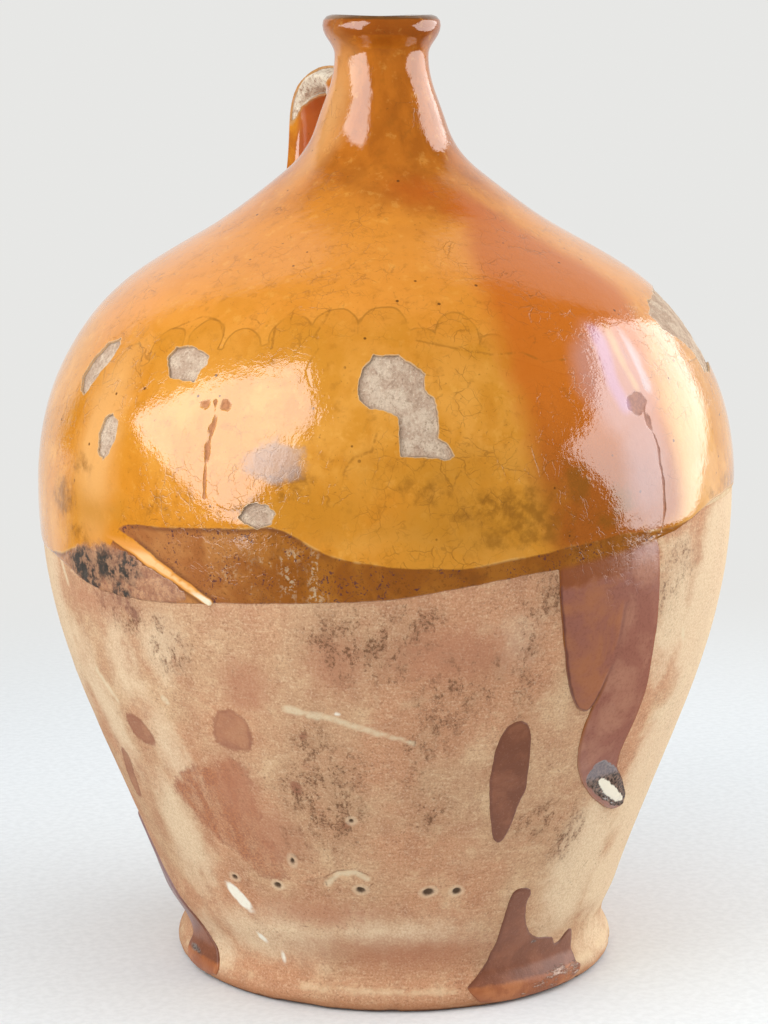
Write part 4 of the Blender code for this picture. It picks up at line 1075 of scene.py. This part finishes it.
def smooth_path(spots, count):
    """Points evenly along a line whose corners are rounded, and how far along each lies."""
    spots = np.asarray(spots, float)
    for _ in range(4):
        a, b = spots[:-1], spots[1:]
        middle = np.stack([0.75 * a + 0.25 * b, 0.25 * a + 0.75 * b], 1)
        spots = np.vstack([spots[:1], middle.reshape(-1, 2), spots[-1:]])
    far = np.concatenate([[0], np.cumsum(np.hypot(*np.diff(spots, axis=0).T))])
    at = np.linspace(0, far[-1], count)
    return at, np.stack([np.interp(at, far, spots[:, i]) for i in (0, 1)], 1)


strap_far, strap_path = smooth_path(STRAP_LINE, 400)
strap_aim = np.gradient(strap_path, axis=0)
strap_aim /= np.linalg.norm(strap_aim, axis=1)[:, None]
STRAP_LENGTH = strap_far[-1]


def on_strap(points, lift):
    """Places on the strap: degrees round its section, distance along it, lift off the clay."""
    angle, far = np.radians(points[:, 0]), points[:, 1]
    ends = [np.interp(far, strap_far, strap_path[:, i]) for i in (0, 1)]
    aim = [np.interp(far, strap_far, strap_aim[:, i]) for i in (0, 1)]
    near_neck = np.exp(-np.maximum(far - 13 * MM, 0) / (6 * MM))
    near_foot = np.exp(-np.maximum(STRAP_LENGTH - 14 * MM - far, 0) / (8 * MM))
    spread = 2.6 * smooth(far, 16 * MM, 48 * MM)
    half_wide = (STRAP_WIDTH / 2 + spread + 4.0 * near_neck + 6.5 * near_foot) * MM + lift
    half_thick = (STRAP_THICK / 2 + 2.6 * near_neck + 7.0 * near_foot) * MM + lift
    c, s = np.cos(angle), np.sin(angle)
    x = np.sign(s) * np.abs(s) ** STRAP_SQUARE * half_wide
    y = -np.sign(c) * np.abs(c) ** STRAP_SQUARE * half_thick
    x *= 0.88 + 0.12 * y / half_thick
    y *= 1 - 0.10 * np.cos(np.pi * np.clip(x / half_wide, -1, 1) * 2) * (c < 0)
    out, up = ends[0] - aim[1] * y, ends[1] + aim[0] * y
    places = np.column_stack([-x, out, up])
    places += 0.25 * MM * np.stack([grain(places, 14 * MM, k) for k in (61, 62, 63)], 1)
    places[:, :2] += sway(places[:, 2])
    return places


def sheet(rows, count, closed=True):
    """Triangles over rows of `count` points each; closed rows run round."""
    faces = []
    for row in range(rows - 1):
        a = row * count + np.arange(count if closed else count - 1)
        b = row * count + (a + 1) % count
        faces += [np.stack([a, b, b + count], 1), np.stack([a, b + count, a + count], 1)]
    return np.vstack(faces)


def flaked(points):
    """Distance (mm) inside the flake on the strap."""
    turned = ((points[:, 0] + 90) % 360 - 90) / 360 * STRAP_GIRTH
    spots = np.column_stack([turned, points[:, 1] / MM])
    return inside(spots, rounded(FLAKE, 1)) + broken(on_strap(points, 0))


turns = np.arange(0, 360, 5)
stations = np.linspace(0, STRAP_LENGTH, int(STRAP_LENGTH / (1.6 * MM)))
strap_points = np.array([(t, v) for v in stations for t in turns])
strap_faces = sheet(len(stations), len(turns))
points, faces = refine(strap_points, strap_faces, lambda p: np.maximum(-flaked(p), 0), (3.0, 1.5))
flake = flaked(points)
rough = on_strap(points, 0)
lift = (-0.2 - smooth(flake, -0.3, 1.2) * (0.7 + 0.3 * grain(rough, 4 * MM, 64)
                                          + 0.2 * grain(rough, 1.8 * MM, 65))) * MM
strap_clay = mesh_piece("strap_clay", on_strap(points, lift), faces, {"chip": flake}, chip_finish)
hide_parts("handle_strap", "handle_neck_luting", "handle_shoulder_luting")

points, faces = refine(strap_points, strap_faces, flaked, (3.0, 1.3))
points, faces = trim(points, faces, -flaked(points))
rough = on_strap(points, 0)
lift = 0.8 + 0.05 * grain(rough, 9 * MM, 66)
# inner: 1 on the side that faces the neck, where a painted reflection of the neck's orange glaze goes
places, faces, fields = skirted(points, faces, lift, on_strap, {
    "chip": flaked(points), "inner": np.cos(np.radians(points[:, 0]))})
strap_finish, shader, place = start_finish("strap_glaze")
mid = place.clouds(0.018, 4, 0.6, 0.5)
small = place.clouds(0.005, 4, 0.65)
tiny = place.clouds(0.0015, 3, 0.6)
colour = coated(
    mid.rise(0.4, 0.62).tint("c0701c", "d98c26"),
    # painted reflection: redder glaze on the side facing the neck
    (place.painted("inner").rise(0.1, 0.7) * 0.8, "c4643c"), (small.rise(0.55, 0.7) * 0.3, "8f5018"),
    (tiny.rise(0.68, 0.76) * 0.5, "6a3d16"), (place.painted("chip").rise(-2.2, -0.2) * 0.6, "c9a878"))
feed(shader, {"Base Color": colour, "Roughness": 0.07, "IOR": 1.75, "Coat Weight": 1.0,
              "Coat Roughness": 0.03, "Coat IOR": 1.5,
              "Normal": (small * 0.5 + tiny * 0.15).relief(0.0002)})
strap_glaze = mesh_piece("strap_glaze", places, faces, fields, strap_finish, 50)
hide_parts("handle_glaze")

# ------------------------------------------------------------ inner glaze
# Oil jugs are glazed inside so that they hold oil. The same glaze, thinner
# and darker, was swilled round and runs over the turning marks.

COAT = 0.6 * MM
COUNT = 120          # points round
FLOOR_ROWS = 16      # rows from the corner in to the middle of the floor
radii, levels = (line[:-2] for line in bowl_line(COAT))
far = np.concatenate([[0], np.cumsum(np.hypot(np.diff(radii), np.diff(levels)))])
at = np.arange(0, far[-1], 4 * MM)
radii = np.concatenate([np.interp(at, far, radii), np.linspace(radii[-1], 0.004, FLOOR_ROWS)])
levels = np.concatenate([np.interp(at, far, levels), np.full(FLOOR_ROWS, levels[-1])])
a = np.radians(np.arange(COUNT) * 360 / COUNT)
places = np.vstack([np.column_stack([np.sin(a) * r, -np.cos(a) * r, np.full(COUNT, z)])
                    for r, z in zip(radii, levels)])
ripple = 0.12 * grain(places * [0.1, 0.1, 1], 7 * MM, 71) + 0.15 * grain(places, 40 * MM, 72)
spread = np.hypot(places[:, 0], places[:, 1])
places[:, :2] *= (1 + ripple * MM / np.maximum(spread, 0.01) * smooth(spread, 0.016, 0.03))[:, None]
places[:, :2] += sway(places[:, 2])
last = (len(radii) - 1) * COUNT
middle = [last + np.arange(1, COUNT - 1), last + np.arange(2, COUNT), np.full(COUNT - 2, last)]
faces = np.vstack([sheet(len(radii), COUNT), np.stack(middle, 1)])
inner_finish, shader, place = start_finish("inner_glaze")
mid = place.clouds(0.03, 3, 0.6, 0.6)
small = place.clouds(0.006, 4, 0.65)
colour = mid.rise(0.4, 0.6).tint("7d3f12", "a0591c")
colour = (small.rise(0.55, 0.7) * 0.5).tint(colour, "5a2d10")
feed(shader, {"Base Color": colour, "Roughness": 0.15 + mid * 0.2, "IOR": 1.7,
              "Normal": (small + mid * 0.5).relief(0.0003)})
inner = mesh_piece("inner_glaze_coat", places, faces, {}, inner_finish)
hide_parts("interior_glaze")

# ----------------------------------------------- drops of glaze lower down
# Splashes of brown glaze that fell on the bare clay and were fired on: a
# tear-shaped one in the middle and two that reach the foot's edge.

# for each: the solid it stands for, its middle (turn, height), thickness (mm) and outline
DROPS = {
    "middle_splash": ("glaze_patch", (-.7, .117), .5, [
        (-.3, .1486), (1.2, .1463), (2.1, .1405), (2.7, .1303), (3, .1201), (3.3, .1123), (2.5, .1073),
        (1.8, .0972), (.8, .088), (-.5, .0858), (-1.9, .0888), (-2.6, .0958), (-4, .1092),
        (-4.5, .1207), (-4.3, .1323), (-3.6, .1407), (-2.5, .1468)]),
    "foot_splash_right": ("foot_splash_front", (15, .025), .7, [
        (5.6, .0576), (6.6, .059), (9, .059), (10.3, .0574), (10.6, .0545), (10, .051), (10.9, .0403),
        (13.6, .0325), (16.8, .0285), (20.4, .0272), (23.2, .0258), (24.2, .0215), (26.6, .0225),
        (29.4, .027), (31.2, .0262), (32, .0215), (31.6, .0168), (31.8, .0125), (31.6, .01),
        (33.5, .008), (32.1, .0045), (26, .0022), (20, .0018), (13.3, .0012), (5, .0012), (-1.2, .0024),
        (-3.2, .0065), (-4.6, .0102), (-3.4, .0122), (-.2, .0165), (2, .0215), (3.6, .03), (4.2, .0407),
        (4.8, .0505)]),
    "foot_splash_left": ("foot_splash_side", (-92, .02), .9, [
        (-106, .071), (-103.5, .072), (-101, .066), (-97.5, .055), (-93.5, .045), (-88.5, .036),
        (-84.5, .028), (-80.5, .0205), (-76.5, .0155), (-73.8, .0085), (-75.5, .0035), (-84, .0025),
        (-90, .0035), (-92.5, .01), (-92, .018), (-95, .026), (-99.5, .036), (-104, .046),
        (-107.5, .058)])}
# where the right splash is worn through, and where two are nicked
WORN = [(26, .008, 13, 3, -6), (17, .0045, 8, 2)]
NICKS = [(-86, .01, 6.5, 2.2, -12), (15.5, .0275, 1.2, .8)]
drop_finish, shader, place = start_finish("brown_glaze")
height = place.level()
mid = place.clouds(0.014, 4, 0.6, 0.4)
small = place.clouds(0.004, 4, 0.65)
tiny = place.clouds(0.0012, 3, 0.65)
# painted sheen: lilac grey over the left splash above about 2 cm
lilac_sheen = place.painted("turn").rise(-84, -94) * height.rise(0.014, 0.024)
nick = place.painted("nick") + (tiny - 0.5) * 3
low = (height + (small - 0.5) * 0.003).rise(0.0112, 0.0096)
patches = place.stretched(0.6, 0.6, 1.6).clouds(0.0034, 5, 0.8)
worn = (patches + place.painted("worn") * 0.05).rise(0.53, 0.64)
colour = coated(
    mid.rise(0.4, 0.65).tint("7c4529", "8f5537"), (small.rise(0.5, 0.66) * 0.4, "7a4426"),
    (place.painted("gap").rise(1.8, 0.4) * 0.7, "74422c"), (tiny.rise(0.56, 0.70) * 0.35, "a37058"),
    (lilac_sheen * 0.5, "a08a90"), (nick.rise(-0.8, 0.6) * 0.85, tiny.rise(0.4, 0.6).tint("3a342e", "86807a")),
    (low * 0.85, mid.rise(0.4, 0.6).tint("a25a2c", "b9703c")),
    (worn * 0.8, tiny.rise(0.4, 0.6).tint("c29a86", "dfc6b6")))
feed(shader, {"Base Color": colour, "Roughness": 0.34 + small * 0.2 + worn * 0.3, "IOR": 1.5,
              "Coat Weight": 0.2, "Coat Roughness": 0.2,
              "Normal": (small + tiny * 0.5 + worn * 1.5).relief(0.0003)})
MARGIN = 3           # degrees or mm of mesh round an outline before it is trimmed
for name, (node, middle, thickness, outline) in DROPS.items():
    outline_turns, outline_heights = zip(*outline)
    low_turn, high_turn = min(outline_turns) - MARGIN, max(outline_turns) + MARGIN
    low_v = max(along(min(outline_heights)) - MARGIN * MM, 0.2 * MM)
    high_v = along(max(outline_heights)) + MARGIN * MM
    turns = np.linspace(low_turn, high_turn, int((high_turn - low_turn) / 0.55))
    stations = np.linspace(low_v, high_v, int((high_v - low_v) / (1.1 * MM)))
    points = np.array([(t, v) for v in stations for t in turns])
    faces = sheet(len(stations), len(turns), closed=False)

    def fallen(points):
        plain = on_jug(points, 0)
        return (within(points, outline, middle) + 0.25 * grain(plain, 5 * MM, 81)
                + 0.12 * grain(plain, 2 * MM, 82))

    points, faces = refine(points, faces, fallen, (1.5,))
    points, faces = trim(points, faces, fallen(points))
    gap = fallen(points)
    lift = (thickness * np.sqrt(1 - (1 - np.clip(gap / 1.3, 0, 1)) ** 2)
            + 0.05 * grain(on_jug(points, 0), 9 * MM, 83))
    places, faces, fields = skirted(points, faces, lift, on_jug,
                                    {"gap": gap, "worn": blots(points, WORN),
                                     "nick": blots(points, NICKS), "turn": points[:, 0]})
    drop = mesh_piece(name, places, faces, fields, drop_finish, 50)
    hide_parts(node)

# ------------------------------------------------------------ floor, light
# Plain pale linen backdrop with the jug standing on it. Two tall softboxes
# light it, and the glaze mirrors them and a room that is dark at its sides.
floor_mesh = bpy.data.meshes.new("floor")
floor_mesh.from_pydata([(-9, -9, 0), (9, -9, 0), (9, 9, 0), (-9, 9, 0)], [], [(0, 1, 2, 3)])
floor = bpy.data.objects.new("floor", floor_mesh)
floor.location.z = -0.0002
bpy.context.scene.collection.objects.link(floor)
floor_finish, shader, place = start_finish("pale_linen")
feed(shader, {"Base Color": place.clouds(0.004, 3, 0.6).rise(0.3, 0.7).tint("e0e5e8", "e8edf0"),
              "Roughness": 0.95, "Specular IOR Level": 0.1})
floor_mesh.materials.append(floor_finish)

# the backdrop as the camera sees it, and the dark and lit room that the glaze mirrors
BACKDROP = (0.80, 0.80, 0.785, 1)
DARK, LIT = (0.06, 0.06, 0.06, 1), (0.8, 0.79, 0.78, 1)
# level directions: to the photograph's right, and away from the camera
ASIDE = (0.9205, -0.3907, 0.0)
AWAY = (0.3907, 0.9205, 0.0)

# far from the jug the floor gives way to that backdrop
tree = floor_finish.node_tree
mirrored = Wire(tree, tree.nodes.new("ShaderNodeLightPath").outputs["Is Glossy Ray"])
facing = place.vector("SUBTRACT", (0, 0, 0.22)).vector("NORMALIZE").vector("DOT_PRODUCT", AWAY, output=1)
blank = place.node("ShaderNodeEmission", {}, {
    "Color": mirrored.tint(BACKDROP, facing.rise(0.36, 0.66).tint(DARK, LIT)), "Strength": 1.0})
far = place.vector("LENGTH", output=1)
gone = mirrored * far.rise(0.12, 0.30) + (1 - mirrored) * far.rise(0.34, 0.95)
mixed = place.node("ShaderNodeMixShader", {}, {0: gone, 2: blank})
tree.links.new(shader.outputs[0], mixed.socket.node.inputs[1])
tree.links.new(mixed.socket, tree.nodes["Material Output"].inputs["Surface"])

world = bpy.data.worlds.new("studio")
bpy.context.scene.world = world
world.use_nodes = True
tree = world.node_tree
ray = tree.nodes.new("ShaderNodeLightPath").outputs
camera_ray, glossy_ray = Wire(tree, ray["Is Camera Ray"]), Wire(tree, ray["Is Glossy Ray"])
start = Wire(tree, tree.nodes.new("ShaderNodeTexCoord").outputs["Generated"])
above = start.level()
behind, aside = (start.vector("DOT_PRODUCT", way, output=1) for way in (AWAY, ASIDE))
wedge = (aside * aside).rise(0.045, 0.004) * above.rise(0.2, 0.5)
lit = (behind + above * 0.3).rise(0.64, 0.76) * (1 - above.rise(0.3, 0.8) * 0.45) * (1 - wedge * 0.9)
fill = above.rise(0.0, 0.95).tint((0.44, 0.44, 0.44, 1), (0.92, 0.92, 0.92, 1))
backdrop = camera_ray.tint(glossy_ray.tint(fill, lit.tint(DARK, LIT)), BACKDROP)
tree.links.new(backdrop.socket, tree.nodes["Background"].inputs["Color"])

# each softbox: its middle, the ways of its width, height and back, then width, height and glow
SOFTBOXES = {
    "left_softbox": ((-1.0715, -0.537, 1.143), (-0.258, -0.836, -0.485), (-0.238, -0.431, 0.870),
                     (-0.936, 0.341, -0.088), 0.89, 2.02, 3.2),
    "right_softbox": ((1.353, -0.222, 0.777), (-0.001, 0.673, -0.740), (0.362, 0.689, 0.627),
                      (0.932, -0.267, -0.245), 1.41, 1.87, 2.75)}
for name, (middle, across, up, back, width, tall, glow) in SOFTBOXES.items():
    lamp = bpy.data.lights.new(name, "AREA")
    lamp.shape, lamp.size, lamp.size_y = "RECTANGLE", width, tall
    lamp.energy = glow * math.pi * width * tall
    box = bpy.data.objects.new(name, lamp)
    box.matrix_world = Matrix((across, up, back)).transposed().to_4x4()
    box.location = middle
    bpy.context.scene.collection.objects.link(box)

# ----------------------------------------------------------------- camera
# A long lens a little above the jug's lip, looking down on it, where the
# ellipses of the photographed foot and lip put it.

camera = bpy.data.objects.new("camera", bpy.data.cameras.new("camera"))
camera.data.lens = 98.44
camera.data.shift_x = -0.0019
camera.location = (-0.5236, -1.2335, 0.455)
camera.rotation_euler = (math.radians(90 - 10.085), 0, math.radians(-23))
bpy.context.scene.collection.objects.link(camera)
bpy.context.scene.camera = camera
bpy.context.scene.view_settings.view_transform = "Standard"
